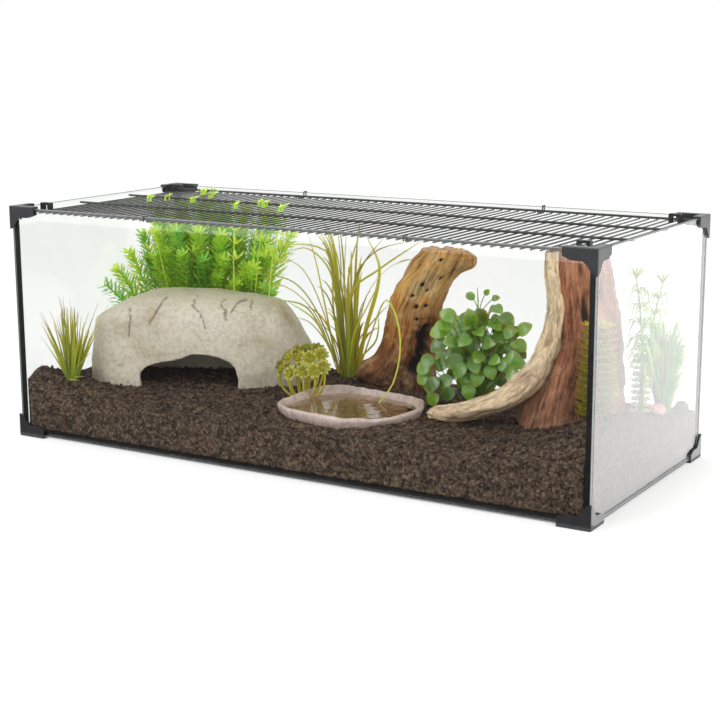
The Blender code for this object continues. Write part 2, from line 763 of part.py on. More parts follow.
def add_rings(name, rings, surface, parent, smooth_below=None):
    form = bmesh.new()
    add_loft(form, rings)
    return add_object(name, form, surface, parent, smooth_below)


def build_wood(parent):
    """Two logs, and the hollows that they press into the soil."""
    surface = material("driftwood", (0.42, 0.25, 0.12), 0.75)
    centre = wood_rings(CENTRE_WOOD, 0.0, CENTRE_WOOD_SIDES)
    add_rings("driftwood_centre", centre, surface, parent, 40)
    right = wood_rings(RIGHT_WOOD, 0.0, RIGHT_WOOD_SIDES)
    log = add_rings("driftwood_right", right, surface, parent, 40)
    combine(log, add_rings("right_wood_root", foot_rings(0.0), surface, parent), "UNION")
    centre_seat = wood_rings(CENTRE_WOOD, SOIL_LOOSE, CENTRE_WOOD_SIDES)
    right_seat = wood_rings(RIGHT_WOOD, SOIL_LOOSE, RIGHT_WOOD_SIDES)
    return [
        add_rings("centre_wood_seat", centre_seat, surface, parent),
        add_rings("right_wood_seat", right_seat, surface, parent),
        add_rings("right_root_seat", foot_rings(SOIL_LOOSE), surface, parent),
    ]


def root_form(x, y, radius, cells):
    """A plug that stands in the soil, with a domed top divided into square cells."""
    ground = soil_height(x, y)
    form = bmesh.new()
    grid = {}
    for i in range(cells + 1):
        for j in range(cells + 1):
            u = 2 * i / cells - 1
            v = 2 * j / cells - 1
            px = u * math.sqrt(1 - v * v / 2)
            py = v * math.sqrt(1 - u * u / 2)
            dome = 0.5 * radius * (1 - min(px * px + py * py, 1.0))
            grid[i, j] = form.verts.new((x + radius * px, y + radius * py, ground + ROOT_CROWN + dome))
    faces = []
    for i in range(cells):
        for j in range(cells):
            loop = (grid[i, j], grid[i + 1, j], grid[i + 1, j + 1], grid[i, j + 1])
            faces.append(form.faces.new(loop))
    border = [grid[i, 0] for i in range(cells)]
    border += [grid[cells, j] for j in range(cells)]
    border += [grid[i, cells] for i in range(cells, 0, -1)]
    border += [grid[0, j] for j in range(cells, 0, -1)]
    low = [form.verts.new((v.co.x, v.co.y, ground - ROOT_DEPTH)) for v in border]
    for k in range(len(border)):
        n = (k + 1) % len(border)
        form.faces.new((low[k], low[n], border[n], border[k]))
    form.faces.new(list(reversed(low)))
    return form, faces


def root_seat(name, x, y, radius, surface, parent):
    """The hole in the soil that the plug stands in."""
    ground = soil_height(x, y)
    form = bmesh.new()
    grown = (radius + GAP) / math.cos(math.pi / SEAT_SIDES)
    turns = [2 * math.pi * k / SEAT_SIDES for k in range(SEAT_SIDES)]
    rings = [
        [(x + grown * math.cos(turn), y + grown * math.sin(turn), z) for turn in turns]
        for z in (ground - ROOT_DEPTH - GAP, ground + SEAT_REACH)
    ]
    add_loft(form, rings)
    return add_object(name, form, surface, parent)


def grow_shoot(form, face, path, sizes):
    """Pull one cell out along a path; each size is the shoot's width and thickness there."""
    bmesh.ops.inset_individual(form, faces=[face], thickness=CELL_INSET)
    points = [face.calc_center_median()] + [Vector(point) for point in path]
    offsets = [vert.co - points[0] for vert in face.verts]
    for i in range(1, len(points)):
        after = points[min(i + 1, len(points) - 1)]
        run = (after - points[i - 1]).normalized()
        side = Vector((-run.y, run.x, 0))
        side = side.normalized() if side.length > 0.05 else Vector((1, 0, 0))
        thick = run.cross(side)
        half_width = side * (sizes[i - 1][0] / 2)
        half_depth = thick * (sizes[i - 1][1] / 2)
        corners = [
            half_width + half_depth,
            half_depth - half_width,
            -half_width - half_depth,
            half_width - half_depth,
        ]
        face = bmesh.ops.extrude_discrete_faces(form, faces=[face])["faces"][0]

        def fit(turn):
            return sum(offsets[k].dot(corners[(turn + k) % 4]) for k in range(4))

        turn = max(range(4), key=fit)
        offsets = [corners[(turn + k) % 4] for k in range(4)]
        for vert, offset in zip(face.verts, offsets):
            vert.co = points[i] + offset


def curve_points(start, middle, tip, steps):
    """Points after the start on a curve that sets out toward the middle point."""
    points = []
    for k in range(1, steps + 1):
        t = k / steps
        points.append(start * (1 - t) ** 2 + middle * (2 * t * (1 - t)) + tip * t * t)
    return points


def add_plant(name, root, cells, tip_of, sizes, surface, parent):
    """A plant whose shoots fan out from its root.

    tip_of gives where a shoot ends, as shares of the room from the root and of the air above the
    soil, and how far the shoot leans before it rises.
    """
    x = root[0] * INNER_X
    y = root[1] * INNER_Y
    radius = root[2]
    form, faces = root_form(x, y, radius, cells)
    for index, face in enumerate(faces):
        u = (2 * (index // cells) + 1) / cells - 1
        v = (2 * (index % cells) + 1) / cells - 1
        start = face.calc_center_median()
        (along, back, high), lean = tip_of(u, v, index)
        tip = Vector((x + along * INNER_X, y + back * INNER_Y, SOIL_BASE + high * AIR))
        middle = Vector((
            start.x + (tip.x - start.x) * lean,
            start.y + (tip.y - start.y) * lean,
            start.z + (tip.z - start.z) * 0.9,
        ))
        grow_shoot(form, face, curve_points(start, middle, tip, len(sizes)), sizes)
    add_object(name, form, surface, parent, 40)
    return root_seat(name + "_seat", x, y, radius, surface, parent)


def left_grass_tip(u, v, index):
    reach = 0.107 + 0.015 * math.sin(5 * index)
    high = 0.442 + 0.080 * math.cos(2 * u) * math.sin(3 * index + 1)
    return (0.031 + reach * u, -0.073 + 0.109 * v, high), 0.25


def bush_tip(u, v, index):
    left = max(-u, 0)
    high = 0.875 - 0.223 * left + 0.054 * math.sin(4 * index)
    return (0.191 + 0.382 * u, -0.073 + 0.304 * v - 0.121 * left, high), 0.35


def tall_grass_tip(u, v, index):
    high = 0.928 - 0.245 * u * u + 0.027 * math.sin(3 * index)
    if u > 0:
        return (0.382 * u, -0.273 + 0.085 * v, high + 0.089 * u), 0.10
    return (0.344 * u, -0.073 + 0.334 * v, high), 0.15


def leafy_tip(u, v, index):
    high = 0.620 - 0.335 * (u * u + v * v) + 0.036 * math.sin(5 * index)
    return (0.010 + 0.191 * u, -0.036 + 0.273 * v, high), 0.15


def succulent_tip(u, v, index):
    high = 0.277 - 0.071 * (u * u + v * v) + 0.018 * math.sin(4 * index)
    return (0.020 + 0.122 * u, -0.061 + 0.158 * v, high), 0.55


def right_grass_tip(u, v, index):
    high = 0.473 + 0.062 * math.sin(4 * index) - 0.089 * v * v
    return (-0.015 + 0.056 * u, -0.036 + 0.304 * v, high), 0.25


def thin_stem_tip(u, v, index):
    high = 0.785 - 0.134 * v + 0.045 * u
    return (-0.020 + 0.041 * u, 0.049 + 0.546 * v, high), 0.15


def whorl_rings(x, y, radius, top, whorls, reach):
    """A stem with star-shaped whorls of leaves at even heights."""
    ground = soil_height(x, y)
    levels = [(ground - ROOT_DEPTH, radius, radius), (ground + WHORL_COLLAR, radius, radius)]
    spacing = (SOIL_BASE + top * AIR - ground - FIRST_WHORL) / whorls
    for k in range(whorls):
        low = ground + FIRST_WHORL + spacing * k
        leaf = reach * (1 - 0.45 * (k / whorls) ** 2)
        levels.append((low, WHORL_STEM, WHORL_STEM))
        levels.append((low + 0.55 * spacing, leaf, WHORL_STEM * 1.5))
        levels.append((low + 0.70 * spacing, WHORL_STEM, WHORL_STEM))
    rings = []
    for z, out, between in levels:
        ring = []
        for k in range(8):
            angle = math.pi * k / 4 + 0.3
            spread = between if k % 2 else out
            ring.append((x + spread * math.cos(angle), y + spread * math.sin(angle), z))
        rings.append(ring)
    return rings


def build_whorl(name, root, top, whorls, reach, surface, parent):
    x = root[0] * INNER_X
    y = root[1] * INNER_Y
    rings = whorl_rings(x, y, root[2], top, whorls, reach)
    add_rings(name, rings, surface, parent, 30)
    return root_seat(name + "_seat", x, y, root[2], surface, parent)


def build_rock(name, spot, size, surface, parent):
    """A rounded stone with a flat seat pressed a little into the soil."""
    x = spot[0] * INNER_X
    y = spot[1] * INNER_Y
    ground = soil_height(x, y)
    form = bmesh.new()
    bmesh.ops.create_icosphere(form, subdivisions=2, radius=1.0)
    for vert in form.verts:
        bump = 1 + 0.06 * math.sin(3 * vert.co.x + 5 * vert.co.y) + 0.05 * math.sin(6 * vert.co.z)
        vert.co = Vector((
            x + vert.co.x * bump * size[0],
            y + vert.co.y * bump * size[1],
            ground + max(vert.co.z * bump * size[2] + 0.3 * size[2], -ROCK_SINK),
        ))
    add_object(name, form, surface, parent, 60)
    form = bmesh.new()
    reach = 1.15 / math.cos(math.pi / SEAT_SIDES)
    outline = superellipse(size[0] * reach, size[1] * reach, 2, SEAT_SIDES)
    rings = [
        [(x + u, y + v, z) for u, v in outline]
        for z in (ground - ROCK_SINK - GAP, ground + SEAT_REACH)
    ]
    add_loft(form, rings)
    return add_object(name + "_seat", form, surface, parent)


def build_planting(parent):
    """Plants and stones, each with the hole that it fills in the soil."""
    pale_green = material("pale_blades", (0.35, 0.42, 0.10), 0.5)
    bright_green = material("bright_sprigs", (0.25, 0.50, 0.06), 0.5)
    deep_green = material("deep_leaves", (0.07, 0.22, 0.05), 0.35)
    olive = material("olive_rosettes", (0.30, 0.33, 0.08), 0.45)
    front_whorls = (FRONT_WHORL_TOP, FRONT_WHORL_COUNT, FRONT_WHORL_REACH)
    rear_whorls = (REAR_WHORL_TOP, REAR_WHORL_COUNT, REAR_WHORL_REACH)
    pink = material("pink_stone", (0.55, 0.38, 0.32), 0.7)
    dark = material("dark_stone", (0.12, 0.10, 0.09), 0.6)
    return [
        add_plant("grass_left", LEFT_GRASS, 3, left_grass_tip, BLADE, pale_green, parent),
        add_plant("bushy_plant", BUSH, 3, bush_tip, SPRIG, bright_green, parent),
        add_plant("tall_grass", TALL_GRASS, 4, tall_grass_tip, LONG_BLADE, pale_green, parent),
        add_plant("leafy_plant", LEAFY, 3, leafy_tip, LEAF, deep_green, parent),
        add_plant("succulent", SUCCULENT, 3, succulent_tip, ROSETTE, olive, parent),
        add_plant("grass_right", RIGHT_GRASS, 3, right_grass_tip, BLADE, bright_green, parent),
        add_plant("thin_stems", THIN_STEMS, 2, thin_stem_tip, STEM, bright_green, parent),
        build_whorl("whorl_plant_front", FRONT_WHORL, *front_whorls, olive, parent),
        build_whorl("whorl_plant_rear", REAR_WHORL, *rear_whorls, olive, parent),
        build_rock("pink_rock", PINK_ROCK, PINK_ROCK_SIZE, pink, parent),
        build_rock("dark_rock", DARK_ROCK, DARK_ROCK_SIZE, dark, parent),
    ]


def main():
    clear_scene()
    tank = bpy.data.objects.new("tank_frame", None)
    bpy.context.scene.collection.objects.link(tank)
    lid = bpy.data.objects.new("lid_frame", None)
    bpy.context.scene.collection.objects.link(lid)
    build_glass(tank)
    build_seams(tank)
    build_caps(tank)
    build_lid_grid(lid)
    build_hooks(lid)
    build_clips(lid)
    soil_surface = material("coconut_soil", (0.05, 0.035, 0.025), 0.95)
    soil = add_object("soil_bed", soil_form(), soil_surface, tank, 60)
    seats = [build_hide(tank), build_dish(tank)] + build_wood(tank) + build_planting(tank)
    for seat in seats:
        combine(soil, seat, "DIFFERENCE")


main()
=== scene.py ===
"""Glass tortoise enclosure: finishes for the panes, caps and clips, a round-wire lid and its planting.

Metres, +Z up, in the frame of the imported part. The long front faces -Y and the right end +X.
"""

import math
import random

import bpy
import numpy as np
from mathutils import Matrix, Vector, noise


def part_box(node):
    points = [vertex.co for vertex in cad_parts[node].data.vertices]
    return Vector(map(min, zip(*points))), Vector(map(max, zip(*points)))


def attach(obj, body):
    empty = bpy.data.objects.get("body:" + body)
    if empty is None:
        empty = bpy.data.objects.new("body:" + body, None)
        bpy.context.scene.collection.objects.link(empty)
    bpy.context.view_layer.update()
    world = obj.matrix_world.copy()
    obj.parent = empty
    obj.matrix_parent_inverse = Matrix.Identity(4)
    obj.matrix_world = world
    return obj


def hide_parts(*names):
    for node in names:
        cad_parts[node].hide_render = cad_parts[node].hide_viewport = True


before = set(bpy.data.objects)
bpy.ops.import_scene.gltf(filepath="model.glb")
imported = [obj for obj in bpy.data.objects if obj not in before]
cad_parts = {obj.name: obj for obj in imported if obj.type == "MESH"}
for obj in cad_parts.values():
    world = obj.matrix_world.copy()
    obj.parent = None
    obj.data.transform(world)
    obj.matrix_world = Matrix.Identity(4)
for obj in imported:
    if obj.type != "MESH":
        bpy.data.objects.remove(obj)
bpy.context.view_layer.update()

bl_info = {
    "name": "Tortoise enclosure",
    "version": (1, 0, 0),
    "blender": (4, 5, 0),
    "location": "3D View > Sidebar > Enclosure",
    "description": "Dresses a packed glass enclosure with its wire lid, soil, hide, dish and plants",
    "category": "Object",
}

MM = 0.001

# Faces of the glass box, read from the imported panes
INNER_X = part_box("pane_right")[0].x
OUTER_Y = -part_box("pane_front")[0].y
INNER_Y = -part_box("pane_front")[1].y
GLASS_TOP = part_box("pane_front")[1].z

CORNERS = ("front_left", "front_right", "rear_left", "rear_right")

# Lid and dish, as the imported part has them
CROSS_WIRES = 66
CROSS_OVERHANG = 0.003
DISH_SQUARE = 2.6

WHITE = (1, 1, 1, 1)
BLACK = (0, 0, 0, 1)
UP = Vector((0, 0, 1))

# Roughly the way from the part to the camera, which the grass blades face
TO_VIEWER = Vector((0.50, -0.84, 0.25))

# Turn in radians from one leaf to the next that spreads them evenly round a stem
GOLDEN_TURN = 2.39996

# Camera that looks along the photograph's line of sight
CAMERA_PLACE = (1.00740, -1.64579, 0.52013)
CAMERA_AZIMUTH = 31.105
CAMERA_ELEVATION = 11.974
CAMERA_ROLL = -0.2333
CAMERA_LENS = 78.668


def srgb(code):
    """Linear RGBA from an sRGB hex colour."""
    channels = [int(code[i:i + 2], 16) / 255 for i in (1, 3, 5)]
    linear = [c / 12.92 if c <= 0.04045 else ((c + 0.055) / 1.055) ** 2.4 for c in channels]
    return (*linear, 1.0)


def colour_property(name, description, code):
    return bpy.props.FloatVectorProperty(
        name=name, description=description, subtype="COLOR", size=4, min=0, max=1, default=srgb(code)
    )


def length_property(name, description, default):
    return bpy.props.FloatProperty(
        name=name, description=description, default=default, min=0, unit="LENGTH", precision=4
    )


class StageSettings(bpy.types.PropertyGroup):
    floor: colour_property("Floor", "Colour of the floor", "#F6F6F6")
    sky: bpy.props.FloatProperty(
        name="Sky", description="Strength of the soft light all round", default=0.76, min=0
    )
    key: bpy.props.FloatProperty(
        name="Key", description="Power of the main lamp", default=15.0, min=0, unit="POWER"
    )
    fill: bpy.props.FloatProperty(
        name="Fill", description="Power of the lamp on the right", default=13.0, min=0, unit="POWER"
    )


class TankSettings(bpy.types.PropertyGroup):
    glass: colour_property("Glass", "Tint of the float glass", "#FDFEFD")
    ground_edge: colour_property("Ground edge", "Colour of the matt pane edges", "#959A99")
    silicone: colour_property("Silicone", "Colour of the bonds", "#0F0F11")
    cap: colour_property("Caps", "Colour of the moulded corner caps", "#2B2C2E")


class LidSettings(bpy.types.PropertyGroup):
    long_wire: length_property("Long wire", "Thickness of the wires along the lid", 3.0 * MM)
    cross_wire: length_property("Cross wire", "Thickness of the wires across the lid", 1.9 * MM)
    hook_wire: length_property("Hook wire", "Thickness of the bent hooks", 1.8 * MM)
    coating: colour_property("Coating", "Colour of the powder coat", "#3A3B3D")


class GroundSettings(bpy.types.PropertyGroup):
    soil_dark: colour_property("Dark soil", "Colour between the crumbs", "#2A201A")
    soil_mid: colour_property("Soil", "Colour of most crumbs", "#5C4B3E")
    soil_light: colour_property("Pale soil", "Colour of the driest crumbs", "#8B7663")
    crumbs: bpy.props.IntProperty(name="Crumbs", description="Loose crumbs on the soil", default=4200)
    fibres: bpy.props.IntProperty(name="Fibres", description="Loose fibres on the soil", default=260)
    hide_stone: colour_property("Hide", "Colour of the cast hide", "#E8DFCB")
    dish_resin: colour_property("Dish", "Colour of the dish's rim", "#D8C2B8")
    water_depth: length_property("Water", "Height of the water above the dish's foot", 17.0 * MM)


class PlantSettings(bpy.types.PropertyGroup):
    blade: colour_property("Blades", "Colour of the long grass", "#C8CE3E")
    sprig: colour_property("Sprigs", "Colour of the feathery plant", "#D8FF58")
    leaf: colour_property("Leaves", "Colour of the round leaves", "#6FA52F")
    rosette: colour_property("Rosettes", "Colour of the succulent", "#B5B63A")
    wood: colour_property("Wood", "Colour of the weathered wood", "#DEA456")


# Materials


def add_node(tree, kind, *values, output=0, **details):
    """Add a shader node and give back one of its outputs.

    Values go to its open inputs in turn. Of the named details, those in small letters are settings
    and those with a capital are inputs. An input takes a value or a socket to link from.
    """
    made = tree.nodes.new("ShaderNode" + kind)
    named = {name.replace("_", " "): details.pop(name) for name in list(details) if not name.islower()}
    for name, value in details.items():
        if name == "stops":
            set_stops(made.color_ramp, value)
        else:
            setattr(made, name, value)
    given = [(made.inputs[name], value) for name, value in named.items()]
    given += zip([socket for socket in made.inputs if socket.enabled], values)
    for socket, value in given:
        if isinstance(value, bpy.types.NodeSocket):
            tree.links.new(value, socket)
        else:
            socket.default_value = value
    open_outputs = [socket for socket in made.outputs if socket.enabled]
    return made.outputs[output] if output else open_outputs[0]


def set_stops(colours, stops):
    """Give a colour ramp its stops, each a place from 0 to 1 and a colour."""
    while len(colours.elements) < len(stops):
        colours.elements.new(1.0)
    for element, (place, colour) in zip(colours.elements, stops):
        element.position = place
        element.color = colour


def link_to(shader, **sockets):
    """Link each socket to the shader's input of that name, with _ for a space."""
    for name, socket in sockets.items():
        shader.id_data.links.new(socket, shader.inputs[name.replace("_", " ")])


def start_material(name, **sockets):
    """A material with one Principled shader; returns it with its tree, shader and coordinates."""
    surface = bpy.data.materials.new(name)
    surface.use_nodes = True
    tree = surface.node_tree
    shader = tree.nodes["Principled BSDF"]
    for key, value in sockets.items():
        shader.inputs[key.replace("_", " ")].default_value = value
    place = add_node(tree, "TexCoord", output="Object")
    return surface, tree, shader, place


def shade(colour, factor):
    return (colour[0] * factor, colour[1] * factor, colour[2] * factor, 1.0)


def float_glass(name, tint):
    """Float glass, polished by the molten tin it sets on: no grain, only a crisp reflection."""
    surface, _, _, _ = start_material(
        name, Base_Color=tint, Roughness=0.0, IOR=1.52, Transmission_Weight=1.0
    )
    return surface


def ground_glass(name, tint):
    """Pane edges ground with a fine belt: pale, matt and slightly scratched along the edge."""
    surface, tree, shader, place = start_material(name, Roughness=0.45)
    streak = add_node(
        tree, "TexNoise", add_node(tree, "Mapping", place, Scale=(1 / 8, 1 / 8, 1)),
        Scale=1 / (2 * MM), Detail=2.0,
    )
    colour = add_node(tree, "ValToRGB", streak, stops=[(0.3, shade(tint, 0.72)), (0.7, tint)])
    link_to(shader, Base_Color=colour)
    return surface


def cured_silicone(colour):
    """Black acetoxy silicone, tooled by finger: smooth with a soft waxy gloss."""
    surface, tree, shader, place = start_material("black_silicone", Base_Color=colour, Roughness=0.38)
    film = add_node(tree, "TexNoise", place, Scale=1 / (4 * MM), Detail=2.0)
    link_to(shader, Normal=add_node(tree, "Bump", Height=film, Distance=0.3 * MM))
    return surface


def moulded_polypropylene(name, colour, rough):
    """Injection-moulded polypropylene with a fine spark texture, 0.3 mm drawn as 0.8 mm."""
    surface, tree, shader, place = start_material(name, Coat_Weight=0.3, Coat_Roughness=0.25)
    fine = add_node(tree, "TexNoise", place, Scale=1 / (0.8 * MM), Detail=2.0)
    broad = add_node(tree, "TexNoise", place, Scale=1 / (12 * MM), Detail=2.0)
    colour = add_node(
        tree, "ValToRGB", broad, stops=[(0.3, shade(colour, 0.85)), (0.75, shade(colour, 1.2))]
    )
    worn = add_node(tree, "Math", broad, 0.15, rough - 0.075, operation="MULTIPLY_ADD")
    relief = add_node(tree, "Bump", Height=fine, Distance=0.06 * MM)
    link_to(shader, Base_Color=colour, Roughness=worn, Normal=relief)
    return surface


def powder_coat(name, colour, rough):
    """Steel wire under a baked powder coat: satin, with the orange peel that powder leaves."""
    surface, tree, shader, place = start_material(name, Roughness=rough, Coat_Weight=0.15)
    peel = add_node(tree, "TexNoise", place, Scale=1 / (1.2 * MM), Detail=1.0)
    patch = add_node(tree, "TexNoise", place, Scale=1 / (20 * MM), Detail=2.0)
    colour = add_node(
        tree, "ValToRGB", patch, stops=[(0.3, shade(colour, 0.8)), (0.7, shade(colour, 1.25))]
    )
    link_to(shader, Base_Color=colour, Normal=add_node(tree, "Bump", Height=peel, Distance=0.05 * MM))
    return surface


def coir_soil(dark, mid, light):
    """Damp coconut coir and bark soil: crumbs of 1 to 5 mm in dark browns with short tan threads, and painted
    shade between the crumbs.
    """
    surface, tree, shader, place = start_material(
        "coir_soil", Roughness=0.92, Specular_IOR_Level=0.25
    )
    crumb = add_node(tree, "TexVoronoi", Vector=place, Scale=1 / (3.5 * MM))
    shard = add_node(
        tree, "TexVoronoi", Vector=place, Scale=1 / (2.0 * MM), distance="CHEBYCHEV", output="Color"
    )
    lumps = add_node(tree, "TexNoise", place, Scale=1 / (12 * MM), Detail=4.0)
    fine = add_node(tree, "TexNoise", place, Scale=1 / (1.1 * MM), Detail=3.0)
    big = add_node(tree, "SeparateColor", Color=crumb.node.outputs["Color"])
    small = add_node(tree, "SeparateColor", Color=shard, output=1)
    tone = add_node(
        tree, "Math", add_node(tree, "Math", big, 0.36, operation="MULTIPLY"),
        add_node(tree, "Math", small, 0.26, operation="MULTIPLY"), operation="ADD",
    )
    tone = add_node(
        tree, "Math", tone, add_node(tree, "Math", lumps, 0.22, operation="MULTIPLY"),
        operation="ADD",
    )
    tone = add_node(
        tree, "Math", tone, add_node(tree, "Math", fine, 0.16, operation="MULTIPLY"),
        operation="ADD",
    )
    colour = add_node(
        tree, "ValToRGB", tone,
        stops=[
            (0.3, shade(dark, 0.8)), (0.45, shade(mid, 0.72)), (0.58, shade(mid, 1.15)),
            (0.76, shade(light, 0.9)),
        ],
    )
    strand = add_node(
        tree, "TexNoise", add_node(tree, "Mapping", place, Scale=(1 / 4, 1, 1)),
        Scale=1 / (1.6 * MM), Detail=1.0, Distortion=0.8,
    )
    strand_up = add_node(
        tree, "TexNoise", add_node(tree, "Mapping", place, Scale=(1, 1 / 3, 1 / 2.5)),
        Scale=1 / (1.6 * MM), Detail=1.0, Distortion=0.8,
    )
    thread = add_node(
        tree, "ValToRGB", add_node(tree, "Math", strand, strand_up, operation="MAXIMUM"),
        stops=[(0.69, BLACK), (0.74, WHITE)],
    )
    colour = add_node(
        tree, "Mix", add_node(tree, "Math", thread, 0.35, operation="MULTIPLY"), colour,
        srgb("#8A6A50"), data_type="RGBA",
    )
    # Painted shade: darker towards the edge of each crumb cell, in the gaps between the crumbs.
    crumb_gap_shade = add_node(tree, "ValToRGB", crumb, stops=[(0.4, WHITE), (0.8, (0.45, 0.45, 0.45, 1))])
    colour = add_node(tree, "Mix", 0.7, colour, crumb_gap_shade, data_type="RGBA", blend_type="MULTIPLY")
    link_to(shader, Base_Color=colour)
    relief = add_node(
        tree, "Math", fine, add_node(tree, "Math", crumb, 0.8, operation="MULTIPLY"),
        operation="SUBTRACT",
    )
    link_to(shader, Normal=add_node(tree, "Bump", Height=relief, Distance=1.2 * MM))
    return surface


def coir_fibre(name, first, second):
    """Loose coconut fibres and chips, each a little lighter or darker."""
    surface, tree, shader, _ = start_material(name, Roughness=0.8)
    tint = add_node(tree, "Attribute", attribute_name="tint", output="Fac")
    colour = add_node(tree, "ValToRGB", tint, stops=[(0.0, first), (1.0, second)])
    link_to(shader, Base_Color=colour)
    return surface


def cast_stone(colour):
    """Cast resin stone, sponged with washes: pale, matt, with thin dark cracks and stains."""
    surface, tree, shader, place = start_material(
        "cast_stone", Roughness=0.88, Specular_IOR_Level=0.3
    )
    broad = add_node(
        tree, "TexNoise", add_node(tree, "Mapping", place, Scale=(1 / 1.6, 1 / 1.6, 1)),
        Scale=1 / (60 * MM), Detail=4.0,
    )
    fine = add_node(tree, "TexNoise", place, Scale=1 / (5 * MM), Detail=5.0)
    base = add_node(
        tree, "ValToRGB", broad,
        stops=[
            (0.3, srgb("#BEAB88")), (0.44, shade(colour, 0.9)), (0.58, colour),
            (0.76, srgb("#E8E2D6")),
        ],
    )
    wash = add_node(tree, "ValToRGB", fine, stops=[(0.32, srgb("#A39A88")), (0.58, WHITE)])
    base = add_node(tree, "Mix", 0.3, base, wash, data_type="RGBA", blend_type="MULTIPLY")
    speck = add_node(
        tree, "ValToRGB", add_node(tree, "TexNoise", place, Scale=1 / (2.2 * MM), Detail=2.0),
        stops=[(0.26, WHITE), (0.32, BLACK)],
    )
    base = add_node(
        tree, "Mix", add_node(tree, "Math", speck, 0.5, operation="MULTIPLY"), base,
        srgb("#7E715E"), data_type="RGBA",
    )
    warped = add_node(tree, "TexNoise", place, Scale=1 / (14 * MM), Detail=3.0, output="Color")
    sway = (0.016, 0.016, 0.016)
    bent = add_node(tree, "VectorMath", warped, sway, place, operation="MULTIPLY_ADD")
    veins = add_node(
        tree, "TexVoronoi", Vector=bent, Scale=1 / (34 * MM), feature="DISTANCE_TO_EDGE",
        output="Distance",
    )
    vein = add_node(tree, "ValToRGB", veins, stops=[(0.003, WHITE), (0.014, BLACK)])
    broken = add_node(
        tree, "ValToRGB", add_node(tree, "TexNoise", place, Scale=1 / (16 * MM), Detail=2.0),
        stops=[(0.54, BLACK), (0.64, WHITE)],
    )
    vein = add_node(tree, "Math", vein, broken, operation="MULTIPLY")
    base = add_node(
        tree, "Mix", add_node(tree, "Math", vein, 0.45, operation="MULTIPLY"), base,
        srgb("#7A6C56"), data_type="RGBA",
    )
    high = add_node(tree, "SeparateXYZ", Vector=place, output="Z")
    moss = add_node(tree, "Math", high, 22.0, -3.55, operation="MULTIPLY_ADD")
    moss = add_node(
        tree, "Math", add_node(tree, "Math", moss, 0.0, operation="MAXIMUM"), fine,
        operation="MULTIPLY",
    )
    base = add_node(
        tree, "Mix", add_node(tree, "Math", moss, 0.5, operation="MINIMUM"), base, srgb("#9A9A5E"),
        data_type="RGBA",
    )
    crack = add_node(tree, "Attribute", attribute_name="crack", output="Fac")
    base = add_node(
        tree, "Mix", add_node(tree, "Math", crack, 0.85, operation="MULTIPLY"), base,
        srgb("#574B3A"), data_type="RGBA",
    )
    link_to(shader, Base_Color=base)
    relief = add_node(
        tree, "Math", add_node(tree, "Math", fine, broad, operation="ADD"),
        add_node(tree, "Math", vein, 0.5, operation="MULTIPLY"), operation="SUBTRACT",
    )
    link_to(shader, Normal=add_node(tree, "Bump", Height=relief, Distance=0.9 * MM))
    return surface


def glazed_resin(colour):
    """Cast resin dish under clear varnish: mottled, with wet-looking specks and a soft gloss."""
    surface, tree, shader, place = start_material("glazed_resin", Roughness=0.38, Coat_Weight=0.35)
    high = add_node(tree, "SeparateXYZ", Vector=place, output="Z")
    deep = add_node(
        tree, "MapRange", Value=high, From_Min=0.06, From_Max=0.074, To_Min=0.0, To_Max=1.0
    )
    mottle = add_node(tree, "TexNoise", place, Scale=1 / (7 * MM), Detail=5.0)
    rim = add_node(
        tree, "ValToRGB", mottle,
        stops=[(0.34, shade(colour, 0.72)), (0.52, colour), (0.72, srgb("#DDCCC4"))],
    )
    bowl = add_node(
        tree, "ValToRGB", mottle,
        stops=[(0.35, srgb("#7B6250")), (0.6, srgb("#9E8470")), (0.75, srgb("#B79C88"))],
    )
    base = add_node(tree, "Mix", deep, bowl, rim, data_type="RGBA")
    speck = add_node(tree, "TexVoronoi", Vector=place, Scale=1 / (5 * MM), output="Distance")
    speck = add_node(tree, "ValToRGB", speck, stops=[(0.08, WHITE), (0.15, BLACK)])
    base = add_node(
        tree, "Mix", add_node(tree, "Math", speck, 0.45, operation="MULTIPLY"), base,
        srgb("#6B4A3C"), data_type="RGBA",
    )
    link_to(shader, Base_Color=base, Normal=add_node(tree, "Bump", Height=mottle, Distance=1.2 * MM))
    return surface


def still_water():
    """Shallow water that has picked up some tannin from the wood."""
    surface, tree, shader, place = start_material(
        "still_water", Base_Color=srgb("#E2D3BC"), Roughness=0.02, IOR=1.33, Transmission_Weight=1.0
    )
    ripple = add_node(tree, "TexNoise", place, Scale=1 / (14 * MM), Detail=1.0)
    link_to(shader, Normal=add_node(tree, "Bump", Height=ripple, Distance=0.5 * MM))
    return surface


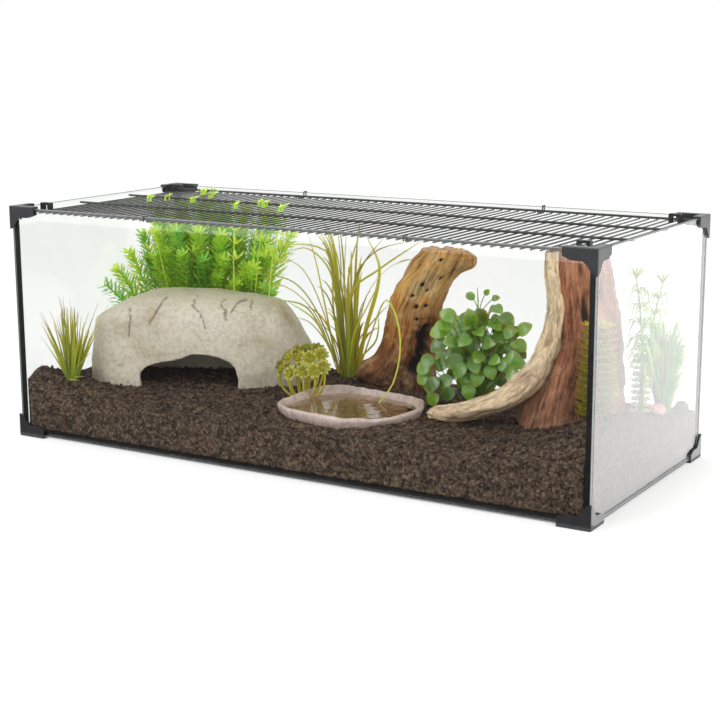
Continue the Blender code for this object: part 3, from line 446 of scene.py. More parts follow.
def weathered_wood(name, bands, dark, pale):
    """Sandblasted root wood: grain that follows the wood, dark checks, paler worn ridges and hollows painted
    dark as shade.
    """
    surface, tree, shader, place = start_material(name, Roughness=0.72, Specular_IOR_Level=0.35)
    flow = add_node(tree, "Attribute", attribute_name="flow", output="Vector")
    line = add_node(
        tree, "TexNoise", add_node(tree, "Mapping", flow, Scale=(1, 1, 1 / 9)),
        Scale=1 / (3.4 * MM), Detail=4.0, Distortion=0.5,
    )
    fine = add_node(
        tree, "TexNoise", add_node(tree, "Mapping", flow, Scale=(1, 1, 1 / 6)),
        Scale=1 / (1.3 * MM), Detail=3.0,
    )
    patch = add_node(tree, "TexNoise", place, Scale=1 / (34 * MM), Detail=4.0)
    high = add_node(tree, "SeparateXYZ", Vector=place, output="Z")
    wander = add_node(tree, "Math", patch, 0.1, high, operation="MULTIPLY_ADD")
    share = add_node(tree, "MapRange", Value=wander, From_Min=0.11, From_Max=0.31)
    body = add_node(
        tree, "ValToRGB", share,
        stops=[(k / (len(bands) - 1), colour) for k, colour in enumerate(bands)],
    )
    streak = add_node(
        tree, "ValToRGB", line,
        stops=[
            (0.32, (0.28, 0.23, 0.19, 1)), (0.48, (0.88, 0.86, 0.84, 1)),
            (0.66, (1.34, 1.3, 1.22, 1)),
        ],
    )
    body = add_node(tree, "Mix", 1.0, body, streak, data_type="RGBA", blend_type="MULTIPLY")
    worn = add_node(
        tree, "ValToRGB", add_node(tree, "TexNoise", place, Scale=1 / (17 * MM), Detail=4.0),
        stops=[(0.52, BLACK), (0.66, WHITE)],
    )
    body = add_node(
        tree, "Mix", add_node(tree, "Math", worn, 0.45, operation="MULTIPLY"), body, pale,
        data_type="RGBA",
    )
    light = add_node(tree, "Attribute", attribute_name="pale", output="Fac")
    bare = add_node(
        tree, "ValToRGB", line,
        stops=[(0.3, shade(pale, 0.62)), (0.5, shade(pale, 0.95)), (0.72, shade(pale, 1.08))],
    )
    body = add_node(tree, "Mix", light, body, bare, data_type="RGBA")
    # Painted shade: where the hollow mark is set, the colour goes toward the dark colour given for the
    # hollows.
    hollow = add_node(tree, "Attribute", attribute_name="hollow", output="Fac")
    body = add_node(tree, "Mix", hollow, body, dark, data_type="RGBA")
    pore = add_node(tree, "ValToRGB", fine, stops=[(0.34, (0.4, 0.35, 0.3, 1)), (0.55, WHITE)])
    body = add_node(tree, "Mix", 0.55, body, pore, data_type="RGBA", blend_type="MULTIPLY")
    relief = add_node(
        tree, "Math", line, add_node(tree, "Math", fine, 0.5, operation="MULTIPLY"), operation="ADD"
    )
    relief = add_node(tree, "Bump", Height=relief, Distance=1.5 * MM)
    link_to(shader, Base_Color=body, Normal=relief)
    return surface


def moulded_leaf(name, base, tip, dark, rough, coat=0.0, spots=0.25):
    """Soft moulded polyethylene foliage: darker at each leaf's foot as painted shade, dark where the tint is
    low (darker leaves, and painted shade on leaves deep inside the plant), paler at the tips, faintly
    mottled.
    """
    surface, tree, shader, place = start_material(
        name, Roughness=rough, Coat_Weight=coat, Subsurface_Weight=0.5, Subsurface_Scale=0.002
    )
    tint = add_node(tree, "Attribute", attribute_name="tint", output="Fac")
    along = add_node(tree, "Attribute", attribute_name="along", output="Fac")
    # Painted shade: each leaf and blade is darker toward its foot, a shaded copy of its colour.
    colour = add_node(
        tree, "ValToRGB", along,
        stops=[(0.0, shade(base, 0.7)), (0.35, base), (0.8, base), (1.0, tip)],
    )
    # A low tint mixes in the dark colour and a high one comes out brighter; where a plant lowers the tint
    # deep inside it, this is painted shade.
    colour = add_node(
        tree, "Mix", add_node(tree, "ValToRGB", tint, stops=[(0.0, WHITE), (0.5, BLACK)]), colour,
        dark, data_type="RGBA",
    )
    varied = add_node(
        tree, "ValToRGB", tint,
        stops=[(0.0, (0.9, 0.9, 0.9, 1)), (0.6, (0.95, 0.95, 0.95, 1)), (1.0, (1.2, 1.15, 1.0, 1))],
    )
    colour = add_node(tree, "Mix", 1.0, colour, varied, data_type="RGBA", blend_type="MULTIPLY")
    mottle = add_node(
        tree, "ValToRGB", add_node(tree, "TexNoise", place, Scale=1 / (4 * MM), Detail=3.0),
        stops=[(0.35, (0.66, 0.72, 0.58, 1)), (0.6, WHITE)],
    )
    colour = add_node(tree, "Mix", spots, colour, mottle, data_type="RGBA", blend_type="MULTIPLY")
    skin = add_node(tree, "TexNoise", place, Scale=1 / (1.2 * MM), Detail=2.0)
    relief = add_node(tree, "Bump", Height=skin, Distance=0.2 * MM)
    link_to(shader, Base_Color=colour, Normal=relief)
    return surface


def pebble(name, colour, light):
    """Tumbled stone with fine grain and a dusting on top."""
    surface, tree, shader, place = start_material(name, Roughness=0.75)
    speckle = add_node(tree, "TexNoise", place, Scale=1 / (3 * MM), Detail=5.0)
    base = add_node(
        tree, "ValToRGB", speckle, stops=[(0.35, shade(colour, 0.6)), (0.5, colour), (0.7, light)]
    )
    link_to(shader, Base_Color=base, Normal=add_node(tree, "Bump", Height=speckle, Distance=1.0 * MM))
    return surface


# Modelling helpers


def deselect():
    bpy.ops.object.select_all(action="DESELECT")


def take(name):
    """The primitive just added, under its own name."""
    made = bpy.context.object
    made.name = name
    made.data.name = name
    return made


def activate(piece):
    deselect()
    piece.select_set(True)
    bpy.context.view_layer.objects.active = piece


def apply_step(piece, kind, **settings):
    """Add a modifier with these settings and apply it."""
    activate(piece)
    step = piece.modifiers.new(kind.lower(), kind)
    for name, value in settings.items():
        setattr(step, name, value)
    bpy.ops.object.modifier_apply(modifier=step.name)


def points_of(piece, kind="co"):
    """The points of a piece as rows, or their normals where kind is "normal"."""
    flat = np.empty(len(piece.data.vertices) * 3)
    piece.data.vertices.foreach_get(kind, flat)
    return flat.reshape(-1, 3)


def face_outward():
    """Turn all faces of the active piece outward, in edit mode, and leave that mode."""
    bpy.ops.object.mode_set(mode="EDIT")
    bpy.ops.mesh.select_all(action="SELECT")
    bpy.ops.mesh.normals_make_consistent(inside=False)
    bpy.ops.object.mode_set(mode="OBJECT")


def shade_round(piece):
    activate(piece)
    bpy.ops.object.shade_smooth()


def coat(piece, *surfaces):
    """Give a piece these materials in place of those it has."""
    piece.data.materials.clear()
    for surface in surfaces:
        piece.data.materials.append(surface)


def move_points(piece, points):
    piece.data.vertices.foreach_set("co", np.asarray(points, float).ravel())
    piece.data.update()


def mark(piece, name, values):
    """Store one number per point for the material."""
    layer = piece.data.attributes.new(name, "FLOAT", "POINT")
    layer.data.foreach_set("value", np.asarray(values, np.float32))


def settle(piece, surface, body, slot, *nodes):
    """Finish a piece: its material, the body it rides on and the nodes it stands for; the slot is not used.
    """
    coat(piece, surface)
    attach(piece, body)
    if nodes:
        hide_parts(*nodes)


def smooth(value):
    value = min(max(value, 0.0), 1.0)
    return value * value * (3 - 2 * value)


def between(table, at):
    """A row of the table at a value of its first column, on a smooth curve through the rows."""
    rows = [np.array(row, float) for row in table]
    if at <= rows[0][0]:
        return rows[0][1:]
    for i in range(len(rows) - 1):
        if at <= rows[i + 1][0]:
            before = rows[max(i - 1, 0)]
            after = rows[min(i + 2, len(rows) - 1)]
            t = (at - rows[i][0]) / (rows[i + 1][0] - rows[i][0])
            a, b = rows[i], rows[i + 1]
            m0 = (b - before) / 2
            m1 = (after - a) / 2
            curve = (2 * t**3 - 3 * t**2 + 1) * a + (t**3 - 2 * t**2 + t) * m0
            curve = curve + (-2 * t**3 + 3 * t**2) * b + (t**3 - t**2) * m1
            return curve[1:]
    return rows[-1][1:]


def rolled(name, around, along, shape, close=True):
    """A grid rolled into a tube: shape(u, w) gives its point for 0 to 1 round and along."""
    deselect()
    bpy.ops.mesh.primitive_grid_add(x_subdivisions=around, y_subdivisions=along, size=2)
    piece = take(name)
    points = [shape((p[0] + 1) / 2, (p[1] + 1) / 2) for p in points_of(piece)]
    move_points(piece, points)
    bpy.ops.object.mode_set(mode="EDIT")
    bpy.ops.mesh.select_all(action="SELECT")
    bpy.ops.mesh.remove_doubles(threshold=0.00001)
    if close:
        bpy.ops.mesh.fill_holes(sides=0)
        bpy.ops.mesh.select_all(action="SELECT")
        bpy.ops.mesh.normals_make_consistent(inside=False)
    bpy.ops.object.mode_set(mode="OBJECT")
    return piece


def rough(point, size, seed=0.0, octaves=4, stretch=(1, 1, 1)):
    """Fractal noise from about -1 to 1 whose lumps measure the given size."""
    spot = Vector((point[0] / stretch[0], point[1] / stretch[1], point[2] / stretch[2])) / size
    return noise.fractal(spot + Vector((seed, 2 * seed, 3 * seed)), 1.0, 2.0, octaves)


class Foliage:
    """Gathers the leaves and stems of one plant as closed strips and makes one mesh of them."""

    def __init__(self):
        self.points = []
        self.faces = []
        self.tints = []
        self.alongs = []

    def strip(self, rings, tint, alongs):
        """Skin a run of rings that have equally many points, and close both ends."""
        first = len(self.points)
        count = len(rings[0])
        for ring, along in zip(rings, alongs):
            self.points.extend(ring)
            self.tints.extend([tint] * count)
            self.alongs.extend([along] * count)
        for i in range(len(rings) - 1):
            low = first + i * count
            for k in range(count):
                n = (k + 1) % count
                self.faces.append((low + k, low + n, low + count + n, low + count + k))
        self.faces.append(tuple(first + k for k in reversed(range(count))))
        last = first + (len(rings) - 1) * count
        self.faces.append(tuple(last + k for k in range(count)))

    def leaf(self, path, widths, thick, facing, tint=0.5, cup=0.0, alongs=None):
        """A blade along a path; facing is where its upper side looks, cup lifts its edges."""
        last = len(path) - 1
        rings = []
        for i, point in enumerate(path):
            run = (path[min(i + 1, last)] - path[max(i - 1, 0)]).normalized()
            side = run.cross(facing)
            side = side.normalized() if side.length > 1e-6 else run.orthogonal().normalized()
            up = side.cross(run)
            half = side * (widths[i] / 2)
            lift = up * (cup * widths[i])
            body = up * (thick * (0.35 + 0.65 * min(widths[i] / max(widths), 1)) / 2)
            rings.append((point - half + lift, point + body, point + half + lift, point - body))
        if alongs is None:
            alongs = [i / last for i in range(last + 1)]
        self.strip(rings, tint, alongs)

    def stem(self, path, radii, tint=0.5, sides=5, alongs=None):
        """A round stem along a path."""
        last = len(path) - 1
        side = (path[1] - path[0]).orthogonal().normalized()
        rings = []
        for i, point in enumerate(path):
            run = (path[min(i + 1, last)] - path[max(i - 1, 0)]).normalized()
            side = (side - run * side.dot(run)).normalized()
            across = run.cross(side)
            turns = [2 * math.pi * k / sides for k in range(sides)]
            rings.append([point + radii[i] * (math.cos(t) * side + math.sin(t) * across) for t in turns])
        if alongs is None:
            alongs = [i / last for i in range(last + 1)]
        self.strip(rings, tint, alongs)

    def build(self, name):
        mesh = bpy.data.meshes.new(name)
        mesh.from_pydata([tuple(p) for p in self.points], [], self.faces)
        mesh.update()
        piece = bpy.data.objects.new(name, mesh)
        bpy.context.scene.collection.objects.link(piece)
        mark(piece, "tint", self.tints)
        mark(piece, "along", self.alongs)
        activate(piece)
        face_outward()
        bpy.ops.object.shade_smooth_by_angle(angle=math.radians(50))
        return piece


def curve(start, middle, end, steps):
    """Points on a curve that leaves the start toward the middle point."""
    points = []
    for k in range(steps + 1):
        t = k / steps
        points.append(start * (1 - t) ** 2 + middle * (2 * t * (1 - t)) + end * t * t)
    return points


def through(points, steps):
    """Points on a smooth curve through the given ones, evenly spread along it."""
    places = [0.0]
    for a, b in zip(points, points[1:]):
        places.append(places[-1] + (b - a).length)
    last = len(points) - 1
    slopes = []
    for i in range(last + 1):
        before, after = max(i - 1, 0), min(i + 1, last)
        slopes.append((points[after] - points[before]) / (places[after] - places[before]))
    path = []
    for k in range(steps + 1):
        at = places[-1] * k / steps
        i = max(j for j in range(last) if places[j] <= at)
        run = places[i + 1] - places[i]
        t = (at - places[i]) / run
        spot = points[i] * (2 * t**3 - 3 * t**2 + 1) + slopes[i] * (run * (t**3 - 2 * t**2 + t))
        path.append(spot + points[i + 1] * (3 * t**2 - 2 * t**3) + slopes[i + 1] * (run * (t**3 - t**2)))
    return path


def metres(spot):
    """A spot given in millimetres."""
    return Vector([value / 1000 for value in spot])


def spin_about(vector, axis, angle):
    return Matrix.Rotation(angle, 3, axis) @ vector


def cross_step():
    """Spacing of the lid's cross wires: the clips straddle the last two of them."""
    low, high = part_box("clip_rear_right")
    return (low.x + high.x) / (CROSS_WIRES - 2)


# Ground level, as the packed soil has it
SOIL_BASE = 0.066
SOIL_DIP = 0.007
SOIL_FRONT_RUN = 0.018
SOIL_MOUNDS = (
    (-1.000, -0.789, 0.016, 0.115, 0.213),
    (1.045, -0.516, 0.043, 0.217, 0.668),
    (-0.739, -1.020, -0.009, 0.153, 0.182),
    (-0.850, -0.870, 0.012, 0.090, 0.150),
    (0.000, 1.093, -0.012, 1.275, 0.364),
    (-0.204, 0.304, 0.006, 0.204, 0.304),
    (0.510, -0.729, 0.005, 0.153, 0.182),
)
HIDE_PLACE = (-0.218, -0.004)
HIDE_YAW = math.radians(25)
HIDE_COS, HIDE_SIN = math.cos(HIDE_YAW), math.sin(HIDE_YAW)
HIDE_HALF = (0.150, 0.066)
HIDE_FLOOR = 0.060
HIDE_WALL = 0.012
DISH_PLACE = (0.046, -0.072)
DISH_YAW = math.radians(-8)
DISH_HALF = (0.087, 0.077)
DISH_FLOOR = 0.053
DISH_RISE = 0.025


def soil_level(x, y):
    """Height of the soil's surface: low along the front pane, with mounds behind."""
    behind = 1 - math.exp(-(((y + INNER_Y) / SOIL_FRONT_RUN) ** 2))
    u = x / INNER_X
    v = y / INNER_Y
    rise = 0.0
    for mound_u, mound_v, height, spread_u, spread_v in SOIL_MOUNDS:
        rise += height * math.exp(-(((u - mound_u) / spread_u) ** 2 + ((v - mound_v) / spread_v) ** 2))
    front = SOIL_BASE - SOIL_DIP + 0.45 * rise
    corner = 0.011 * math.exp(-(((u + 1) / 0.10) ** 2 + ((v + 1) / 0.20) ** 2))
    return front + (SOIL_BASE + rise - front) * behind + corner


def out_of_dish(x, y):
    """How far out of the middle of the dish a spot lies: 1 on its outline."""
    dx = x - DISH_PLACE[0]
    dy = y - DISH_PLACE[1]
    along = (dx * math.cos(DISH_YAW) + dy * math.sin(DISH_YAW)) / DISH_HALF[0]
    across = (dy * math.cos(DISH_YAW) - dx * math.sin(DISH_YAW)) / DISH_HALF[1]
    return (abs(along) ** DISH_SQUARE + abs(across) ** DISH_SQUARE) ** (1 / DISH_SQUARE)


# Operators, one for each piece or group of like pieces


class ENCLOSURE_OT_stage(bpy.types.Operator):
    """Add the floor, the lamps, the sky and the camera"""

    bl_idname = "enclosure.stage"
    bl_label = "Stage"

    # Light strip on the floor: its run, and its length and width
    strip_run = (0.34, 0.94, 0.0)
    strip_length = 2.9
    strip_width = 0.36

    # Dark card in front
    flag_place = (-0.75, -1.043, 0.003)
    flag_size = (2.4, 1.734, 1.0)

    def execute(self, context):
        settings = context.scene.enclosure_stage
        deselect()
        bpy.ops.mesh.primitive_plane_add(size=16)
        floor = take("studio_floor")
        surface, tree, shader, _ = start_material("studio_floor", Base_Color=settings.floor, Roughness=0.9)
        shader.inputs["Specular IOR Level"].default_value = 0.1
        shader.inputs["Emission Color"].default_value = WHITE
        glow = add_node(tree, "Math", self.in_sight(tree), 0.3, operation="MULTIPLY")
        link_to(shader, Emission_Strength=glow)
        floor.data.materials.append(surface)
        world = bpy.data.worlds.new("studio_sky")
        context.scene.world = world
        world.use_nodes = True
        tree = world.node_tree
        level = add_node(
            tree, "MapRange", Value=self.in_sight(tree), To_Min=settings.sky, To_Max=1.0
        )
        back = tree.nodes["Background"]
        back.inputs["Color"].default_value = WHITE
        link_to(back, Strength=level)
        self.add_lamp("key_lamp", (-0.9, -1.7, 1.7), (0.0, 0.0, 0.1), 1.4, settings.key)
        self.add_lamp("fill_lamp", (1.9, -0.5, 1.3), (0.2, 0.0, 0.1), 1.2, settings.fill)
        self.add_reflection()
        self.add_flag()
        self.add_camera(context)
        return {"FINISHED"}

    def in_sight(self, tree):
        """1 for what the camera sees, straight, through glass or in a mirror image, and 0 for light."""
        rays = add_node(tree, "LightPath").node.outputs
        seen = add_node(
            tree, "Math", rays["Is Camera Ray"], rays["Is Transmission Ray"], operation="MAXIMUM"
        )
        return add_node(tree, "Math", seen, rays["Is Glossy Ray"], operation="MAXIMUM")

    def add_lamp(self, name, place, target, size, power):
        bpy.ops.object.light_add(type="AREA", location=place)
        lamp = take(name)
        lamp.data.size = size
        lamp.data.energy = power
        aim = Vector(target) - Vector(place)
        lamp.rotation_mode = "QUATERNION"
        lamp.rotation_quaternion = aim.to_track_quat("-Z", "Y")

    def add_reflection(self):
        """A long light strip on the floor, which only the right pane mirrors toward the camera."""
        run = Vector(self.strip_run).normalized()
        start = Vector((INNER_X + 0.008, 0.0, 0.0))
        middle = start + run * (self.strip_length / 2 - 0.15)
        bpy.ops.object.light_add(type="AREA", location=(middle.x, middle.y, 0.004))
        strip = take("reflection_strip")
        strip.data.shape = "RECTANGLE"
        strip.data.size = self.strip_length
        strip.data.size_y = self.strip_width
        strip.rotation_euler = (math.pi, 0.0, math.atan2(run.y, run.x))
        strip.data.energy = 1.5 * math.pi * self.strip_length * self.strip_width
        strip.visible_diffuse = False
        strip.visible_transmission = False
        strip.visible_volume_scatter = False

    def add_flag(self):
        """A dark card on the floor in front, which keeps the front pane's mirror image dark."""
        deselect()
        bpy.ops.mesh.primitive_plane_add(size=1, location=self.flag_place)
        flag = take("dark_flag")
        flag.scale = self.flag_size
        surface, tree, shader, _ = start_material("dark_flag", Base_Color=srgb("#101010"), Roughness=0.9)
        mirrored = add_node(tree, "LightPath", output="Glossy Depth")
        link_to(shader, Alpha=add_node(tree, "Math", mirrored, 1.0, operation="MINIMUM"))
        flag.data.materials.append(surface)
        flag.visible_camera = False
        flag.visible_diffuse = False
        flag.visible_shadow = False

    def add_camera(self, context):
        azimuth = math.radians(CAMERA_AZIMUTH)
        elevation = math.radians(CAMERA_ELEVATION)
        roll = math.radians(CAMERA_ROLL)
        ahead = Vector((
            -math.sin(azimuth) * math.cos(elevation),
            math.cos(azimuth) * math.cos(elevation),
            -math.sin(elevation),
        ))
        right = ahead.cross(UP).normalized()
        up = right.cross(ahead)
        right_rolled = math.cos(roll) * right + math.sin(roll) * up
        up_rolled = math.cos(roll) * up - math.sin(roll) * right
        turn = Matrix((right_rolled, up_rolled, -ahead)).transposed().to_4x4()
        bpy.ops.object.camera_add()
        camera = take("camera")
        camera.matrix_world = Matrix.Translation(CAMERA_PLACE) @ turn
        camera.data.sensor_width = 36
        camera.data.lens = CAMERA_LENS
        context.scene.camera = camera


class ENCLOSURE_OT_tank(bpy.types.Operator):
    """Finish the panes, the silicone and the corner caps"""

    bl_idname = "enclosure.tank"
    bl_label = "Tank"

    def execute(self, context):
        settings = context.scene.enclosure_tank
        clear = float_glass("float_glass", settings.glass)
        edge = ground_glass("ground_glass_edge", settings.ground_edge)
        # The bottom pane's edges take a darker copy of the edge colour: partly the black silicone behind the
        # ground glass, partly painted shade.
        shaded_lower_edge = ground_glass("ground_glass_lower_edge", shade(settings.ground_edge, 0.55))
        silicone = cured_silicone(settings.silicone)
        plastic = moulded_polypropylene("charcoal_polypropylene", settings.cap, 0.42)
        across = {"front": 1, "rear": 1, "bottom": 2, "left": 0, "right": 0}
        for name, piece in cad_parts.items():
            kind = name.split("_")[0]
            if kind == "pane":
                side = name.split("_")[1]
                coat(piece, clear, shaded_lower_edge if side == "bottom" else edge)
                for face in piece.data.polygons:
                    face.material_index = 0 if abs(face.normal[across[side]]) > 0.9 else 1
                piece.visible_shadow = False
                piece.visible_diffuse = False
            elif kind == "seam":
                coat(piece, silicone)
            elif kind == "cap":
                coat(piece, plastic)
        return {"FINISHED"}


class ENCLOSURE_OT_lid(bpy.types.Operator):
    """Build the lid from round welded wires and finish its clips"""

    bl_idname = "enclosure.lid"
    bl_label = "Lid"

    long_wires = 4

    def execute(self, context):
        settings = context.scene.enclosure_lid
        coating = powder_coat("powder_coated_wire", settings.coating, 0.42)
        low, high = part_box("lid_grid")
        long_z = high.z - settings.long_wire / 2
        cross_z = low.z + settings.cross_wire / 2
        row_y = high.y - CROSS_OVERHANG
        clip_low, clip_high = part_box("clip_rear_right")
        end_x = (clip_low.x + clip_high.x) / 2 + cross_step() / 2
        wires = []
        for k in range(self.long_wires):
            y = -row_y + 2 * row_y * k / (self.long_wires - 1)
            wires.append(
                self.add_wire("long_wire", settings.long_wire, high.x - low.x, 14, (0, y, long_z), "X")
            )
        for k in range(CROSS_WIRES):
            x = -end_x + 2 * end_x * k / (CROSS_WIRES - 1)
            wires.append(
                self.add_wire("cross_wire", settings.cross_wire, high.y - low.y, 10, (x, 0, cross_z), "Y")
            )
        deselect()
        for wire in wires:
            wire.select_set(True)
        context.view_layer.objects.active = wires[0]
        bpy.ops.object.join()
        grid = take("welded_wire_grid")
        activate(grid)
        bpy.ops.object.transform_apply(location=True, rotation=True, scale=True)
        bpy.ops.object.shade_smooth_by_angle(angle=math.radians(50))
        settle(grid, coating, "lid", "coated_wire", "lid_grid")
        clip = moulded_polypropylene("black_polypropylene", srgb("#1C1C1E"), 0.48)
        for side in CORNERS:
            coat(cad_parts["clip_" + side], clip)
        return {"FINISHED"}

    def add_wire(self, name, thick, length, sides, place, axis):
        """A drawn wire with its sheared ends slightly rounded."""
        turn = (0, math.pi / 2, 0) if axis == "X" else (math.pi / 2, 0, 0)
        deselect()
        bpy.ops.mesh.primitive_cylinder_add(
            vertices=sides, radius=thick / 2, depth=length, location=place, rotation=turn
        )
        wire = take(name)
        apply_step(wire, "BEVEL", width=0.12 * thick, segments=1, limit_method="ANGLE")
        return wire


class ENCLOSURE_OT_hooks(bpy.types.Operator):
    """Bend the four wire hooks over the glass"""

    bl_idname = "enclosure.hooks"
    bl_label = "Hooks"

    # Room to the glass and wires, long wire in from the glass, inner bend, outer leg and curled end
    clear = 0.3 * MM
    inset = 12.7 * MM
    turn = 2.8 * MM
    leg = 5 * MM
    curl_rise = 2 * MM

    def execute(self, context):
        settings = context.scene.enclosure_lid
        steel = powder_coat("dark_hook_wire", settings.coating, 0.36)
        for side in CORNERS:
            low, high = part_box("hook_" + side)
            middle = (low.x + high.x) / 2
            sign = -1 if "front" in side else 1
            path = [Vector((middle, sign * (OUTER_Y - a), z)) for a, z in self.bend(settings)]
            piece = self.wire(f"bent_hook_{side}", path, settings.hook_wire)
            settle(piece, steel, "lid", "hook_steel", "hook_" + side)
        return {"FINISHED"}

    def bend(self, settings):
        """Centre line, as distance in from the outer glass face and height."""
        grip = settings.hook_wire / 2 + self.clear
        glass = OUTER_Y - INNER_Y
        long_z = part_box("lid_grid")[1].z - settings.long_wire / 2
        wire_in = glass + self.inset
        curl = settings.long_wire / 2 + grip
        under = long_z - curl
        turn = self.turn
        path = [(-grip, GLASS_TOP - self.leg)]
        path += self.arc(0.0, GLASS_TOP, grip, 180, 90, 4)
        path += self.arc(glass, GLASS_TOP, grip, 90, 0, 4)
        path += self.arc(glass + grip + turn, under + turn, turn, 180, 270, 5)
        path += self.arc(wire_in, long_z, curl, 270, 360, 5)
        path.append((wire_in + curl, long_z + self.curl_rise))
        return path

    def arc(self, a, b, radius, start, end, steps):
        turns = [math.radians(start + (end - start) * k / steps) for k in range(steps + 1)]
        return [(a + radius * math.cos(t), b + radius * math.sin(t)) for t in turns]

    def wire(self, name, path, thick):
        foliage = Foliage()
        foliage.stem(path, [thick / 2] * len(path), 0.5, 10)
        return foliage.build(name)


class ENCLOSURE_OT_soil(bpy.types.Operator):
    """Heap the soil between the panes and scatter crumbs and fibres on it"""

    bl_idname = "enclosure.soil"
    bl_label = "Soil"

    # Cells along and across the bed, levels down its sides, and the corner that the silicone fills
    columns = 330
    rows = 140
    levels = 22
    bead = 4.3 * MM

    def execute(self, context):
        settings = context.scene.enclosure_ground
        low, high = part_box("soil_bed")
        deselect()
        bpy.ops.mesh.primitive_grid_add(x_subdivisions=self.columns, y_subdivisions=self.rows, size=2)
        soil = take("coir_soil_bed")
        points = points_of(soil)
        for point in points:
            x = point[0] * high.x
            y = point[1] * high.y
            corner = min(high.x - abs(x), high.y - abs(y))
            if high.x - abs(x) < self.bead and high.y - abs(y) < self.bead:
                x = math.copysign(min(abs(x), high.x - self.bead), x)
                y = math.copysign(min(abs(y), high.y - self.bead), y)
            point[:] = (x, y, self.surface(x, y, corner))
        move_points(soil, points)
        bpy.ops.object.mode_set(mode="EDIT")
        bpy.ops.mesh.select_all(action="SELECT")
        bpy.ops.mesh.region_to_loop()
        bpy.ops.object.mode_set(mode="OBJECT")
        for level in range(1, self.levels + 1):
            bpy.ops.object.mode_set(mode="EDIT")
            bpy.ops.mesh.extrude_region_move(TRANSFORM_OT_translate={"value": (0, 0, -0.001)})
            bpy.ops.object.mode_set(mode="OBJECT")
            for vertex in soil.data.vertices:
                if vertex.select:
                    self.lower(vertex, level / self.levels, low.z, high)
        bpy.ops.object.mode_set(mode="EDIT")
        bpy.ops.mesh.edge_face_add()
        face_outward()
        bpy.ops.object.shade_smooth()
        surface = coir_soil(settings.soil_dark, settings.soil_mid, settings.soil_light)
        settle(soil, surface, "tank", "coconut_soil", "soil_bed")
        self.scatter_crumbs(settings, high)
        self.scatter_fibres(settings, high)
        return {"FINISHED"}

    def surface(self, x, y, corner):
        """Soil level with its crumbs, pressed down under the dish and inside the hide."""
        level = soil_level(x, y)
        edge = min(corner / (6 * MM), 1.0)
        spot = (x, y, 0)
        relief = 2.6 * MM * rough(spot, 0.016, 1, 4) + 1.8 * MM * rough(spot, 0.006, 5, 3)
        level += (0.35 + 0.65 * edge) * relief
        dish = out_of_dish(x, y)
        if dish < 0.96:
            level = min(level, 0.0505)
        elif dish < 1.10:
            level += 2.5 * MM * (1 - (dish - 0.96) / 0.14)
        return level

    def lower(self, vertex, share, foot, high):
        """Next level down the soil's side, a little uneven behind the glass."""
        x, y, _ = vertex.co
        top = soil_level(x, y)
        z = top + (foot - top) * share
        dent = 0.5 * MM * (1 + rough((x, y, z), 0.006, 9, 3))
        sunk = max(dent, 0.0)
        if abs(x) > high.x - 2 * MM:
            x = math.copysign(high.x - min(sunk, 1.6 * MM), x)
        if abs(y) > high.y - 2 * MM:
            y = math.copysign(high.y - min(sunk, 1.6 * MM), y)
        if share > 0.92:
            tuck = self.bead * (share - 0.92) / 0.08
            x = math.copysign(min(abs(x), high.x - tuck), x)
            y = math.copysign(min(abs(y), high.y - tuck), y)
        vertex.co = (x, y, z)

    def spot(self, chance, high):
        """A random spot on the open soil."""
        while True:
            x = chance.uniform(-high.x + 0.006, high.x - 0.006)
            y = chance.uniform(-high.y + 0.006, high.y - 0.006)
            if out_of_dish(x, y) > 1.08:
                return x, y

    def scatter_crumbs(self, settings, high):
        """Small broken lumps, modelled once and copied in many sizes."""
        chance = random.Random(4)
        deselect()
        bpy.ops.mesh.primitive_ico_sphere_add(subdivisions=1, radius=1)
        pattern = take("soil_crumb")
        base = points_of(pattern)
        faces = [tuple(face.vertices) for face in pattern.data.polygons]
        points = []
        all_faces = []
        tints = []
        for k in range(settings.crumbs):
            x, y = self.spot(chance, high)
            size = 0.9 * MM + 1.9 * MM * chance.random() ** 2
            pull = [chance.uniform(0.6, 1.25) for _ in range(3)]
            turn = Matrix.Rotation(chance.uniform(0, 6.28), 3, "Z")
            first = len(points)
            place = Vector((x, y, soil_level(x, y) + 0.6 * MM + 0.2 * size))
            for p in base:
                jag = 1 + 0.25 * noise.noise(Vector(p) * 1.7 + Vector((k, 0, 0)))
                local = Vector((p[0] * pull[0], p[1] * pull[1], p[2] * pull[2])) * (size * jag)
                points.append(place + turn @ local)
            all_faces.extend(tuple(first + i for i in face) for face in faces)
            tints.extend([chance.random() ** 1.6] * len(base))
        bpy.data.objects.remove(pattern)
        mesh = bpy.data.meshes.new("soil_crumbs")
        mesh.from_pydata([tuple(p) for p in points], [], all_faces)
        piece = bpy.data.objects.new("soil_crumbs", mesh)
        bpy.context.scene.collection.objects.link(piece)
        mark(piece, "tint", tints)
        settle(piece, coir_fibre("coir_crumbs", srgb("#1B1410"), srgb("#6A4E3A")), "tank", "coconut_soil")

